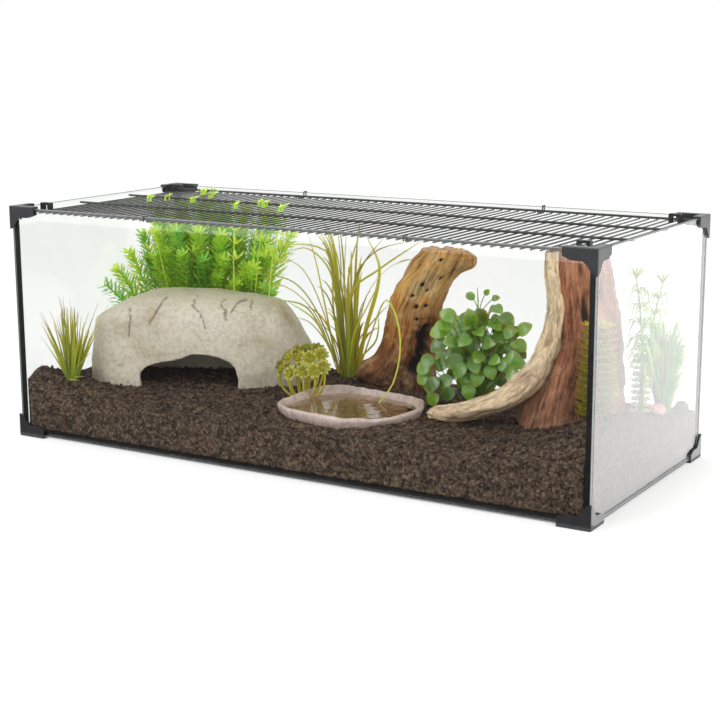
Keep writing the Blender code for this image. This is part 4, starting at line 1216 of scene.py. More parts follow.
    def scatter_fibres(self, settings, high):
        """Fine coconut fibres lying in the crumbs, with a few pale flecks among them."""
        chance = random.Random(11)
        foliage = Foliage()
        for _ in range(settings.fibres):
            x, y = self.spot(chance, high)
            length = chance.uniform(0.006, 0.020)
            heading = chance.uniform(0, 2 * math.pi)
            path = []
            for i in range(5):
                along = length * (i / 4 - 0.5)
                px = x + along * math.cos(heading)
                py = y + along * math.sin(heading)
                px = min(max(px, -high.x + 0.003), high.x - 0.003)
                py = min(max(py, -high.y + 0.003), high.y - 0.003)
                lift = 2.2 * MM + 1.2 * MM * math.sin(i * 1.7 + x * 900)
                path.append(Vector((px, py, soil_level(px, py) + lift)))
                heading += chance.uniform(-0.25, 0.25)
            foliage.stem(path, [0.22 * MM] * 5, chance.random(), 3)
        piece = foliage.build("soil_fibres")
        settle(piece, coir_fibre("coir_fibres", srgb("#6B3F28"), srgb("#B88D62")), "tank", "coconut_soil")
        flecks = Foliage()
        for _ in range(70):
            x, y = self.spot(chance, high)
            heading = chance.uniform(0, 2 * math.pi)
            size = chance.uniform(0.7, 2.2) * MM
            step = Vector((math.cos(heading), math.sin(heading), 0.3)) * size
            base = Vector((x, y, soil_level(x, y) + 2.0 * MM))
            radii = [0.3 * size, 0.4 * size, 0.2 * size]
            flecks.stem([base, base + step * 0.5, base + step], radii, chance.random(), 4)
        piece = flecks.build("soil_flecks")
        settle(piece, coir_fibre("pale_flecks", srgb("#B9A890"), srgb("#EFE8DC")), "tank", "coconut_soil")


class ENCLOSURE_OT_hide(bpy.types.Operator):
    """Carve the hollow stone hide"""

    bl_idname = "enclosure.hide"
    bl_label = "Hide"

    # Outline of the shell as height share and outline share
    levels = (
        (-0.08, 0.955), (0.0, 0.97), (0.28, 1.00), (0.58, 0.97), (0.80, 0.91),
        (0.93, 0.80), (1.0, 0.58), (1.02, 0.3), (1.03, 0.0),
    )

    # Height of the ridge along the hide
    ridge = (
        (-0.160, 0.084), (-0.150, 0.092), (-0.132, 0.099), (-0.112, 0.105), (-0.093, 0.110), (-0.070, 0.117),
        (0.000, 0.118), (0.034, 0.116), (0.069, 0.113), (0.100, 0.110), (0.110, 0.102), (0.127, 0.080),
        (0.145, 0.064), (0.160, 0.045),
    )

    # Cracks as runs of points: distance along the hide and height above its foot
    cracks = (
        ((-7, 121), (-3, 109), (7, 94), (12, 84)),
        ((-87, 107), (-86, 89), (-90, 70)),
        ((-42, 119), (-52, 104), (-62, 87)),
        ((30, 117), (36, 107), (41, 97)),
        ((69, 118), (67, 111), (69, 104)),
        ((60, 116), (48, 112), (44, 104)),
    )

    def execute(self, context):
        settings = context.scene.enclosure_ground
        shell = rolled("cast_stone_hide", 150, 64, self.outer, close=False)
        activate(shell)
        face_outward()
        apply_step(shell, "SOLIDIFY", thickness=HIDE_WALL - 2 * MM, offset=-1.0, use_even_offset=True)
        door = self.door()
        apply_step(shell, "BOOLEAN", operation="DIFFERENCE", solver="EXACT", object=door)
        bpy.data.objects.remove(door)
        apply_step(shell, "REMESH", mode="VOXEL", voxel_size=2.05 * MM)
        apply_step(shell, "SMOOTH", factor=0.5, iterations=3)
        self.weather(shell)
        shade_round(shell)
        settle(shell, cast_stone(settings.hide_stone), "tank", "cast_stone", "rock_hide")
        return {"FINISHED"}

    def world(self, along, across, height):
        x = HIDE_PLACE[0] + HIDE_COS * along - HIDE_SIN * across
        y = HIDE_PLACE[1] + HIDE_SIN * along + HIDE_COS * across
        return (x, y, HIDE_FLOOR + height)

    def outer(self, u, w):
        """Point of the outer skin: u round the shell, w from its foot to its crown."""
        level = between([(i / (len(self.levels) - 1), *row) for i, row in enumerate(self.levels)], w)
        scale = max(float(level[1]), 0.0)
        angle = 2 * math.pi * u
        c = math.cos(angle)
        s = math.sin(angle)
        square = smooth(-1.6 * c) * (0.75 if level[0] < 0.95 else 0.40 if level[0] < 1.01 else 0.0)
        scale += (1 - scale) * square
        along = HIDE_HALF[0] * scale * math.copysign(abs(c) ** 0.625, c)
        across = HIDE_HALF[1] * scale * math.copysign(abs(s) ** 0.625, s)
        return self.world(along, across, float(between(self.ridge, along)[0]) * float(level[0]))

    def door(self):
        """A cutter in the shape of the low arched way in."""
        outline = (
            (-0.0755, -0.030), (0.052, -0.030), (0.0535, 0.018), (0.050, 0.032), (0.041, 0.041),
            (0.025, 0.0462), (0.006, 0.0478), (-0.009, 0.0470), (-0.018, 0.0430), (-0.030, 0.0402),
            (-0.053, 0.0355), (-0.066, 0.0305), (-0.0735, 0.0245), (-0.0755, 0.0180),
        )
        deselect()
        bpy.ops.mesh.primitive_circle_add(vertices=len(outline), fill_type="NGON")
        door = take("door_cutter")
        front = -HIDE_HALF[1] - 0.02
        move_points(door, [self.world(along, front, height) for along, height in outline])
        bpy.ops.object.mode_set(mode="EDIT")
        bpy.ops.mesh.select_all(action="SELECT")
        reach = HIDE_HALF[1] + 0.002
        inward = (-HIDE_SIN * reach, HIDE_COS * reach, 0)
        bpy.ops.mesh.extrude_region_move(TRANSFORM_OT_translate={"value": inward})
        face_outward()
        return door

    def crack_depth(self, along, height):
        """0 away from the cracks, 1 in the middle of one."""
        deepest = 0.0
        for run in self.cracks:
            for (a0, h0), (a1, h1) in zip(run, run[1:]):
                da, dh = a1 - a0, h1 - h0
                t = ((along - a0) * da + (height - h0) * dh) / (da * da + dh * dh)
                t = min(max(t, 0.0), 1.0)
                away = math.hypot(along - a0 - t * da, height - h0 - t * dh)
                deepest = max(deepest, math.exp(-((away / 0.9) ** 2)))
        return deepest

    def weather(self, shell):
        """Facets, pits and cracks in the skin."""
        points = points_of(shell)
        normals = points_of(shell, "normal")
        cracked = np.zeros(len(points))
        for i, (point, normal) in enumerate(zip(points, normals)):
            dx = point[0] - HIDE_PLACE[0]
            dy = point[1] - HIDE_PLACE[1]
            along = HIDE_COS * dx + HIDE_SIN * dy
            across = HIDE_COS * dy - HIDE_SIN * dx
            height = point[2] - HIDE_FLOOR
            push = 3.0 * MM * rough(point, 0.070, 2, 2) + 0.9 * MM * rough(point, 0.020, 7, 5)
            if across < -0.02:
                wander = 4.0 * rough(point, 0.014, 20, 3)
                crack = self.crack_depth(along * 1000 + wander, height * 1000 + wander)
                cracked[i] = crack
                push -= 1.3 * MM * crack
            point += normal * push
            point[2] = max(point[2], HIDE_FLOOR - 4 * MM)
        move_points(shell, points)
        mark(shell, "crack", cracked)


class ENCLOSURE_OT_dish(bpy.types.Operator):
    """Press the resin dish into the soil and fill it with water"""

    bl_idname = "enclosure.dish"
    bl_label = "Dish"

    # Profile from the foot over the rim to the middle of the bowl, as outline and height shares
    profile = (
        (0.0, 0.80, 0.0), (1.0, 0.93, 0.34), (2.0, 0.985, 0.76), (2.5, 0.99, 0.92), (3.0, 0.965, 1.0),
        (3.5, 0.935, 0.96), (4.0, 0.905, 0.80), (5.0, 0.83, 0.52), (6.0, 0.70, 0.24), (7.0, 0.45, 0.17),
        (8.0, 0.0, 0.16),
    )

    # Points round the water's edge
    shore = 96

    def execute(self, context):
        settings = context.scene.enclosure_ground
        dish = rolled("resin_water_dish", 160, 72, self.bowl)
        shade_round(dish)
        settle(dish, glazed_resin(settings.dish_resin), "tank", "glazed_resin", "water_dish")
        deselect()
        bpy.ops.mesh.primitive_circle_add(vertices=self.shore, fill_type="NGON")
        water = take("dish_water")
        top = DISH_FLOOR + settings.water_depth
        outline = []
        for k in range(self.shore):
            x, y, _ = self.ring(2 * math.pi * k / self.shore, 0.875, 0.0)
            outline.append((x, y, top))
        move_points(water, outline)
        bpy.ops.object.mode_set(mode="EDIT")
        bpy.ops.mesh.select_all(action="SELECT")
        bpy.ops.mesh.extrude_region_move(TRANSFORM_OT_translate={"value": (0, 0, -9 * MM)})
        bpy.ops.transform.resize(value=(0.86, 0.86, 1.0), center_override=(*DISH_PLACE, top))
        face_outward()
        water.visible_shadow = False
        water.visible_diffuse = False
        settle(water, still_water(), "tank", "glazed_resin")
        return {"FINISHED"}

    def ring(self, angle, scale, height):
        """A spot on the dish's wavy outline."""
        wave = 1 + 0.022 * math.sin(3 * angle + 0.8) + 0.014 * math.sin(5 * angle + 2.0)
        wave += 0.008 * math.sin(9 * angle)
        c = math.cos(angle)
        s = math.sin(angle)
        along = DISH_HALF[0] * scale * wave * math.copysign(abs(c) ** (2 / DISH_SQUARE), c)
        across = DISH_HALF[1] * scale * wave * math.copysign(abs(s) ** (2 / DISH_SQUARE), s)
        x = DISH_PLACE[0] + math.cos(DISH_YAW) * along - math.sin(DISH_YAW) * across
        y = DISH_PLACE[1] + math.sin(DISH_YAW) * along + math.cos(DISH_YAW) * across
        return (x, y, DISH_FLOOR + height)

    def bowl(self, u, w):
        scale, level = between(self.profile, 8 * w)
        x, y, z = self.ring(2 * math.pi * u, max(float(scale), 0.0), DISH_RISE * float(level))
        lip = smooth((float(level) - 0.5) * 2)
        z += lip * (1.3 * MM * math.sin(6 * math.pi * u) + 0.9 * MM * rough((x, y, 0), 0.014, 3, 3))
        grow = 1 + 0.012 * lip * rough((x, y, z), 0.010, 8, 3)
        x = DISH_PLACE[0] + (x - DISH_PLACE[0]) * grow
        y = DISH_PLACE[1] + (y - DISH_PLACE[1]) * grow
        return (x, y, z)


class ENCLOSURE_OT_wood(bpy.types.Operator):
    """Carve the two pieces of driftwood"""

    bl_idname = "enclosure.wood"
    bl_label = "Driftwood"

    # Levels as height, middle x and y, half length and half depth
    centre = (
        (0.056, 0.026, 0.082, 0.050, 0.034), (0.078, 0.027, 0.082, 0.048, 0.034),
        (0.106, 0.035, 0.082, 0.043, 0.032), (0.135, 0.044, 0.082, 0.037, 0.030),
        (0.172, 0.052, 0.080, 0.036, 0.029), (0.208, 0.068, 0.078, 0.036, 0.027),
        (0.235, 0.084, 0.076, 0.034, 0.024), (0.252, 0.092, 0.076, 0.030, 0.020),
    )
    right = (
        (0.056, 0.289, 0.018, 0.057, 0.074), (0.085, 0.291, 0.020, 0.053, 0.072),
        (0.118, 0.298, 0.021, 0.046, 0.067), (0.155, 0.305, 0.022, 0.038, 0.061),
        (0.190, 0.304, 0.020, 0.036, 0.055), (0.232, 0.300, 0.018, 0.034, 0.049),
        (0.270, 0.295, 0.018, 0.032, 0.041),
    )

    # The pale root, from the top of the right log down to its tip, as x, y, z, half width, half depth
    root = (
        (0.284, -0.026, 0.269, 0.006, 0.006), (0.2865, -0.029, 0.245, 0.0075, 0.010),
        (0.2915, -0.031, 0.223, 0.0092, 0.012), (0.2935, -0.032, 0.203, 0.0105, 0.013),
        (0.291, -0.035, 0.177, 0.0125, 0.015), (0.284, -0.038, 0.156, 0.0130, 0.017),
        (0.274, -0.042, 0.134, 0.0145, 0.020), (0.256, -0.047, 0.113, 0.0140, 0.022),
        (0.230, -0.052, 0.096, 0.0118, 0.022), (0.201, -0.056, 0.084, 0.0108, 0.018),
        (0.170, -0.058, 0.076, 0.0095, 0.012), (0.150, -0.060, 0.0735, 0.006, 0.006),
        (0.145, -0.060, 0.0725, 0.001, 0.001),
    )

    # Hollows, and knots with a negative depth: direction in degrees, height, half sizes and depth
    centre_marks = (
        (-14, 0.132, 0.027, 0.026, 0.024), (-30, 0.100, 0.022, 0.020, 0.014),
        (-78, 0.205, 0.0030, 0.0030, 0.004), (-60, 0.198, 0.0022, 0.0026, 0.003),
        (-70, 0.176, 0.0030, 0.0034, 0.004), (-50, 0.178, 0.0026, 0.0026, 0.003),
        (-88, 0.190, 0.0024, 0.0024, 0.003), (-66, 0.238, 0.0024, 0.0024, 0.003),
        (-45, 0.215, 0.0022, 0.0030, 0.003), (-62, 0.160, 0.0026, 0.0022, 0.003),
        (14, 0.232, 0.018, 0.015, -0.009), (36, 0.231, 0.015, 0.013, -0.007),
        (-150, 0.088, 0.024, 0.017, -0.013), (-120, 0.078, 0.020, 0.012, -0.008),
        (5, 0.155, 0.014, 0.008, -0.006),
    )
    right_marks = (
        (-34, 0.098, 0.019, 0.024, 0.024), (-52, 0.205, 0.006, 0.020, 0.004),
        (-25, 0.165, 0.012, 0.018, 0.008), (-70, 0.135, 0.010, 0.016, -0.005),
        (-45, 0.240, 0.012, 0.014, -0.004),
    )

    def execute(self, context):
        settings = context.scene.enclosure_plants
        tan = weathered_wood(
            "sandblasted_root_tan",
            (
                srgb("#6E4D34"), srgb("#8E5A34"), srgb("#B87A40"), settings.wood, srgb("#E6B86E"),
                srgb("#D6A058"),
            ),
            srgb("#1D1512"), srgb("#DCC08C"),
        )
        red = weathered_wood(
            "sandblasted_root_red",
            (srgb("#B28468"), srgb("#B98264"), srgb("#9C6446"), srgb("#AC704E"), srgb("#B47C5A")),
            srgb("#2A1C17"), srgb("#C99B7C"),
        )
        pale = weathered_wood(
            "sandblasted_root_pale", (srgb("#D2A06C"), srgb("#EBC796"), srgb("#EBC27E")),
            srgb("#7A4426"), srgb("#FBE6C2"),
        )
        self.log("driftwood_centre_log", self.centre, self.centre_marks, 3.0, tan, "driftwood_centre", True)
        self.log("driftwood_right_log", self.right, self.right_marks, 9.0, red, "driftwood_right", False)
        root = rolled("driftwood_right_root_branch", 72, 180, self.root_point)
        points = points_of(root)
        normals = points_of(root, "normal")
        flow = self.root_flow(points)
        for point, normal, run in zip(points, normals, flow):
            groove = rough(run, 0.0045, 30, 3, (1, 1, 9))
            point += normal * (2.2 * MM * groove + 2.4 * MM * rough(point, 0.03, 33, 2))
        move_points(root, points)
        self.mark_flow(root, flow)
        mark(root, "pale", np.full(len(points), 0.75))
        # Painted shade: random dark streaks along the grain, stored in the hollow mark.
        mark(root, "hollow", [0.45 * smooth(3.4 * rough(run, 0.005, 41, 3, (1, 1, 9)) - 0.7) for run in flow])
        shade_round(root)
        settle(root, pale, "tank", "driftwood")
        return {"FINISHED"}

    def mark_flow(self, piece, flow):
        """Coordinates that run with the grain, for the material."""
        layer = piece.data.attributes.new("flow", "FLOAT_VECTOR", "POINT")
        layer.data.foreach_set("vector", np.asarray(flow, np.float32).ravel())

    def root_point(self, u, w):
        rows = [Vector(row[:3]) for row in self.root]
        place = w * (len(rows) - 1)
        table = [(i, *row) for i, row in enumerate(self.root)]
        row = between(table, place)
        ahead = Vector(between(table, min(place + 0.2, len(rows) - 1))[:3])
        behind = Vector(between(table, max(place - 0.2, 0))[:3])
        run = (ahead - behind).normalized()
        front = Vector((0.50, -0.84, 0.20))
        front = (front - run * front.dot(run)).normalized()
        side = run.cross(front)
        angle = 2 * math.pi * u
        return Vector(row[:3]) + side * (row[3] * math.cos(angle)) + front * (row[4] * math.sin(angle))

    def root_flow(self, points):
        """Grain coordinates on the root: round it, and the length along it."""
        rows = [Vector(row[:3]) for row in self.root]
        lengths = [0.0]
        for a, b in zip(rows, rows[1:]):
            lengths.append(lengths[-1] + (b - a).length)
        flow = []
        for p in points:
            p = Vector(p)
            best = None
            for i, (a, b) in enumerate(zip(rows, rows[1:])):
                run = b - a
                t = min(max((p - a).dot(run) / run.length_squared, 0.0), 1.0)
                away = p - (a + run * t)
                if best is None or away.length < best[0].length:
                    best = (away, lengths[i] + t * run.length)
            flow.append((best[0].z + 0.5 * best[0].x, best[0].y, best[1]))
        return flow

    def log(self, name, table, marks, seed, surface, node, patched):
        """A standing log: grooved along its grain, with hollows, knots and a broken top."""
        low = table[0][0]
        tall = table[-1][0] - low

        def skin(u, w):
            z = low + tall * min(w / 0.96, 1.0)
            x, y, half_x, half_y = between(table, z)
            shrink = 1.0 if w <= 0.96 else max(1 - (w - 0.96) / 0.04, 0.0)
            angle = 2 * math.pi * u
            c = math.cos(angle)
            s = math.sin(angle)
            spot = (c * 0.04, s * 0.04, z)
            groove = rough(spot, 0.011, seed, 3, (1, 1, 9))
            lump = rough(spot, 0.045, seed + 3, 3, (1, 1, 1.3))
            crag = rough(spot, 0.012, seed + 5, 3)
            push = (1.8 * MM * groove + 5.5 * MM * lump + 1.2 * MM * crag) * (1.0 if w > 0.06 else 0.4)
            drop = (1 - shrink) * 3 * MM * (1 + rough((c, s, 0), 0.6, seed, 2))
            ragged = smooth((w - 0.85) / 0.1) * 3.5 * MM * (1 + rough((c, s, 0), 0.35, seed + 6, 3))
            return (x + (half_x + push) * shrink * c, y + (half_y + push) * shrink * s, z - drop - ragged)

        log = rolled(name, 170, 130, skin)
        points = points_of(log)
        dark = np.zeros(len(points))
        light = np.zeros(len(points))
        flow = []
        for i, point in enumerate(points):
            x, y, half_x, half_y = between(table, point[2])
            angle = math.atan2((point[1] - y) / half_y, (point[0] - x) / half_x)
            flow.append((0.04 * math.cos(angle), 0.04 * math.sin(angle), point[2]))
            degrees = math.degrees(angle)
            mean = (half_x + half_y) / 2
            for heading, height, wide, high, depth in marks:
                away = (degrees - heading + 180) % 360 - 180
                gap = math.hypot(math.radians(away) * mean / wide, (point[2] - height) / high)
                if gap > 2:
                    continue
                gap += 0.22 * rough(point, 0.012, seed + 20, 3)
                pit = smooth(1.35 - gap)
                point[0] -= math.cos(angle) * depth * pit
                point[1] -= math.sin(angle) * depth * pit
                # Painted shade: the pits of the hollows, not the knots, are marked to be painted near black.
                if depth > 0:
                    dark[i] = max(dark[i], smooth(1.5 * (pit - 0.2)))
            if patched:
                light[i] = 0.75 * smooth(1.4 - math.hypot((degrees + 68) / 32, (point[2] - 0.195) / 0.030))
            light[i] *= smooth(1.1 + 1.5 * rough(point, 0.012, seed + 8, 3))
        move_points(log, points)
        self.mark_flow(log, flow)
        mark(log, "hollow", dark)
        mark(log, "pale", light)
        shade_round(log)
        settle(log, surface, "tank", "driftwood", node)


class ENCLOSURE_OT_stones(bpy.types.Operator):
    """Set the two stones at the right end"""

    bl_idname = "enclosure.stones"
    bl_label = "Stones"

    def execute(self, context):
        looks = {
            "pink_rock": ("pink_pebble", pebble("pink_pebble", srgb("#C08C78"), srgb("#E0B8A6"))),
            "dark_rock": ("dark_pebble", pebble("dark_pebble", srgb("#3A302B"), srgb("#6A5C52"))),
        }
        for seed, (node, (name, surface)) in enumerate(looks.items()):
            low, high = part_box(node)
            middle = (low + high) / 2
            half = (high - low) / 2
            deselect()
            bpy.ops.mesh.primitive_ico_sphere_add(subdivisions=5, radius=1)
            stone = take(name)
            points = points_of(stone)
            for point in points:
                lump = 0.94 + 0.10 * rough(point, 1.1, 5 + seed, 2) + 0.03 * rough(point, 0.35, 8 + seed, 3)
                point *= lump
                point[:] = [middle[k] + point[k] * half[k] for k in range(3)]
            move_points(stone, points)
            bpy.ops.object.shade_smooth()
            settle(stone, surface, "tank", "pink_stone" if node == "pink_rock" else "dark_stone", node)
        return {"FINISHED"}


class ENCLOSURE_OT_grasses(bpy.types.Operator):
    """Grow the grass tufts and the tall grass"""

    bl_idname = "enclosure.grasses"
    bl_label = "Grasses"

    # Tall blades that stand out of the clump, as three spots each, in millimetres
    arcs = (
        ((-69, 70, 203), (-99, 60, 238), (-133, 50, 229)),
        ((-74, 70, 230), (-102, 60, 243), (-140, 50, 239)),
        ((-84, 70, 159), (-107, 60, 210), (-133, 50, 227)),
        ((-83, 60, 151), (-116, 50, 194), (-179, 35, 205)),
        ((-90, 60, 154), (-136, 50, 188), (-175, 40, 167)),
        ((-77, 50, 142), (-98, 45, 166), (-143, 30, 172)),
        ((-67, 50, 120), (-85, 40, 145), (-106, 30, 153)),
        ((-90, 80, 179), (-100, 80, 220), (-112, 80, 256)),
        ((-73, 80, 159), (-75, 80, 210), (-99, 90, 262)),
        ((-66, 80, 160), (-61, 80, 211), (-68, 80, 282)),
        ((-59, 80, 160), (-56, 80, 211), (-51, 80, 283)),
        ((-51, 80, 182), (-46, 80, 220), (-28, 80, 272)), ((-29, 60, 199), (11, 45, 243), (64, 35, 261)),
        ((-28, 50, 184), (23, 35, 223), (96, 20, 268)), ((-4, 50, 186), (67, 30, 239), (146, 10, 213)),
        ((-13, 60, 134), (15, 45, 162), (40, 35, 182)), ((-18, 60, 102), (10, 50, 130), (17, 45, 168)),
        ((-60, 50, 110), (-74, 35, 150), (-110, 20, 176)),
        ((-30, 60, 130), (-4, 50, 170), (20, 40, 205)), ((-40, 70, 170), (-16, 60, 222), (22, 50, 262)),
    )

    # Tips of the left tuft's long blades, in millimetres
    left_tips = (
        (-386, -138, 157), (-380, -141, 160), (-366, -140, 163), (-354, -136, 184), (-346, -142, 181),
        (-341, -142, 185), (-333, -138, 182), (-322, -136, 168), (-316, -140, 166), (-300, -140, 168),
        (-287, -136, 181), (-276, -130, 178), (-292, -148, 118), (-302, -150, 86), (-310, -152, 80),
        (-380, -144, 128),
    )

    def execute(self, context):
        settings = context.scene.enclosure_plants
        chance = random.Random(21)
        green = moulded_leaf(
            "soft_grass_olive", settings.blade, srgb("#C9CE78"), srgb("#8FA53A"), 0.42, 0.1, 0.15
        )
        tuft = moulded_leaf(
            "soft_grass_yellow", srgb("#A7B531"), srgb("#8A7440"), srgb("#5F7A2A"), 0.45, 0.1
        )
        self.tall(chance, green)
        self.left(chance, tuft)
        self.right(chance)
        return {"FINISHED"}

    def blade(self, foliage, path, width, chance, fine_tip=False):
        """One blade along a path, flat side turned about a little at random."""
        steps = len(path) - 1
        widths = []
        for i in range(steps + 1):
            t = i / steps
            if fine_tip:
                widths.append(width * (0.6 + 0.4 * smooth(t / 0.3)) * (1 - t) ** 1.25 + 0.30 * MM)
            else:
                widths.append(width * (0.8 + 0.2 * smooth(t / 0.3)) * (1 - 0.9 * t**5))
        facing = spin_about(TO_VIEWER, UP, chance.uniform(-0.9, 0.9))
        foliage.leaf(path, widths, 0.5 * MM, facing, chance.random(), 0.10)

    def arch(self, root, tip, top, chance, steps=14):
        """A path that rises steeply from its root and bends over to its tip."""
        lean = chance.uniform(0.08, 0.25)
        middle = root.lerp(tip, lean)
        middle.z = max(top, tip.z * 0.97) + 0.25 * max(top - tip.z, 0)
        return curve(root, middle, tip, steps)

    def fan(self, root, tip, chance):
        """A path that leans outward from its root and straightens toward its tip."""
        share = chance.uniform(0.42, 0.58)
        middle = root.lerp(tip, share)
        middle.z += 0.12 * (tip.z - root.z)
        return curve(root, middle, tip, 12)

    def tall(self, chance, surface):
        foliage = Foliage()
        ground = soil_level(-0.050, 0.078) - 0.004
        for spots in self.arcs:
            spots = [metres(spot) for spot in spots]
            first = spots[0]
            root = Vector((-0.050 + 0.22 * (first.x + 0.050) + chance.uniform(-0.004, 0.004), 0.076, ground))
            path = through([root, *spots], 22)
            self.blade(foliage, path, chance.uniform(2.2, 3.1) * MM, chance)
        for k in range(44):
            angle = GOLDEN_TURN * k
            root = Vector((-0.048 + 0.010 * math.cos(angle), 0.078 + 0.007 * math.sin(angle), ground))
            tall = chance.uniform(0.130, 0.284)
            spread = 0.9 if tall > 0.2 else 1.25
            tip = Vector((
                -0.054 + spread * 0.045 * math.cos(angle) * chance.uniform(0.5, 1.1),
                0.074 + 0.026 * math.sin(angle) * chance.uniform(0.5, 1.1),
                tall,
            ))
            path = self.arch(root, tip, tall * chance.uniform(0.90, 1.0), chance)
            self.blade(foliage, path, chance.uniform(2.0, 3.2) * MM, chance)
        thick = [
            (-0.036, 0.076, ground), (-0.019, 0.070, 0.132), (0.009, 0.060, 0.218), (-0.011, 0.060, 0.262),
        ]
        path = through([Vector(spot) for spot in thick], 22)
        widths = [
            5.6 * MM * (0.55 + 0.45 * math.sin(math.pi * k / 22)) * (1 - 0.7 * (k / 22) ** 4)
            for k in range(23)
        ]
        foliage.leaf(path, widths, 0.7 * MM, TO_VIEWER, 0.9, 0.12)
        fallen = [
            (-0.034, 0.070, ground), (0.000, 0.050, 0.130), (0.036, 0.028, 0.186), (0.060, 0.012, 0.172),
            (0.079, -0.010, 0.137), (0.076, -0.022, 0.095), (0.061, -0.032, 0.0695),
        ]
        path = through([Vector(spot) for spot in fallen], 30)
        foliage.leaf(path, [2.0 * MM] * 31, 0.5 * MM, TO_VIEWER, 1.0, 0.10)
        settle(foliage.build("tall_grass_blades"), surface, "tank", "pale_blades", "tall_grass")

    def left(self, chance, surface):
        foliage = Foliage()
        base = Vector((-0.337, -0.136, soil_level(-0.337, -0.136) - 0.003))
        for end in self.left_tips:
            root = base + Vector((chance.uniform(-0.006, 0.006), chance.uniform(-0.005, 0.005), 0))
            path = self.fan(root, metres(end), chance)
            self.blade(foliage, path, chance.uniform(3.0, 4.2) * MM, chance, True)
        for k in range(54):
            angle = GOLDEN_TURN * k
            share = chance.random()
            root = base + Vector((0.007 * math.cos(angle), 0.005 * math.sin(angle), 0))
            x = base.x + (0.006 + 0.044 * share) * math.cos(angle)
            y = base.y + (0.006 + 0.020 * share) * math.sin(angle)
            tip = Vector((
                max(x, -INNER_X + 0.004), max(y, -INNER_Y + 0.004),
                0.172 - 0.062 * share * chance.uniform(0.4, 1.0),
            ))
            path = self.fan(root, tip, chance)
            self.blade(foliage, path, chance.uniform(3.6, 5.2) * MM, chance, True)
        settle(foliage.build("left_grass_tuft"), surface, "tank", "pale_blades", "grass_left")

    def right(self, chance):
        """The bushy tuft and the tall thin stems at the right end."""
        green = moulded_leaf("soft_grass_green", srgb("#6FB24A"), srgb("#A6D468"), srgb("#2F7A34"), 0.45)
        foliage = Foliage()
        base = Vector((0.366, 0.116, soil_level(0.366, 0.116) - 0.003))
        for k in range(230):
            angle = GOLDEN_TURN * k
            root = base + Vector((0.008 * math.cos(angle), 0.008 * math.sin(angle), 0))
            rise = chance.random()
            reach = (0.010 + 0.032 * math.sin(math.pi * (0.15 + 0.75 * rise))) * chance.uniform(0.7, 1.0)
            x = min(base.x + 0.8 * reach * math.cos(angle), INNER_X - 0.003)
            y = min(base.y + 1.15 * reach * math.sin(angle), INNER_Y - 0.003)
            tip = Vector((x, y, 0.095 + 0.085 * rise))
            path = self.arch(root, tip, tip.z * 0.95, chance, 7)
            self.blade(foliage, path, chance.uniform(1.8, 2.8) * MM, chance)
        settle(foliage.build("right_grass_bush"), green, "tank", "bright_sprigs", "grass_right")
        foliage = Foliage()
        foot = Vector((0.374, 0.026, soil_level(0.374, 0.026) - 0.004))
        for top, levels in ((Vector((0.372, -0.001, 0.243)), 7), (Vector((0.373, 0.080, 0.226)), 6),
                            (Vector((0.368, 0.036, 0.180)), 4)):
            path = curve(foot, Vector((foot.x, foot.y, 0.72 * top.z)), top, 16)
            foliage.stem(path, [1.2 * MM] * 17, 0.3, 6)
            for level in range(levels):
                spot = path[16 - 2 * level]
                for k in range(10):
                    angle = 2 * math.pi * (k + 0.4 * level) / 10
                    reach = chance.uniform(0.022, 0.034) * (0.75 + 0.25 * min(level, 1))
                    out = Vector((math.cos(angle), math.sin(angle), 0))
                    drop = -0.010 if level else 0.004
                    tip = spot + out * reach + Vector((0, 0, drop + chance.uniform(-0.006, 0.008)))
                    middle = spot + out * (0.55 * reach) + Vector((0, 0, 0.018))
                    for point in (tip, middle):
                        point.x = min(point.x, INNER_X - 0.003)
                    widths = [1.4 * MM, 2.4 * MM, 2.8 * MM, 2.6 * MM, 2.1 * MM, 1.3 * MM, 0.2 * MM]
                    leaf = curve(spot, middle, tip, 6)
                    foliage.leaf(leaf, widths, 0.4 * MM, UP, chance.random(), 0.1)
        settle(foliage.build("thin_stem_plant"), green, "tank", "bright_sprigs", "thin_stems")


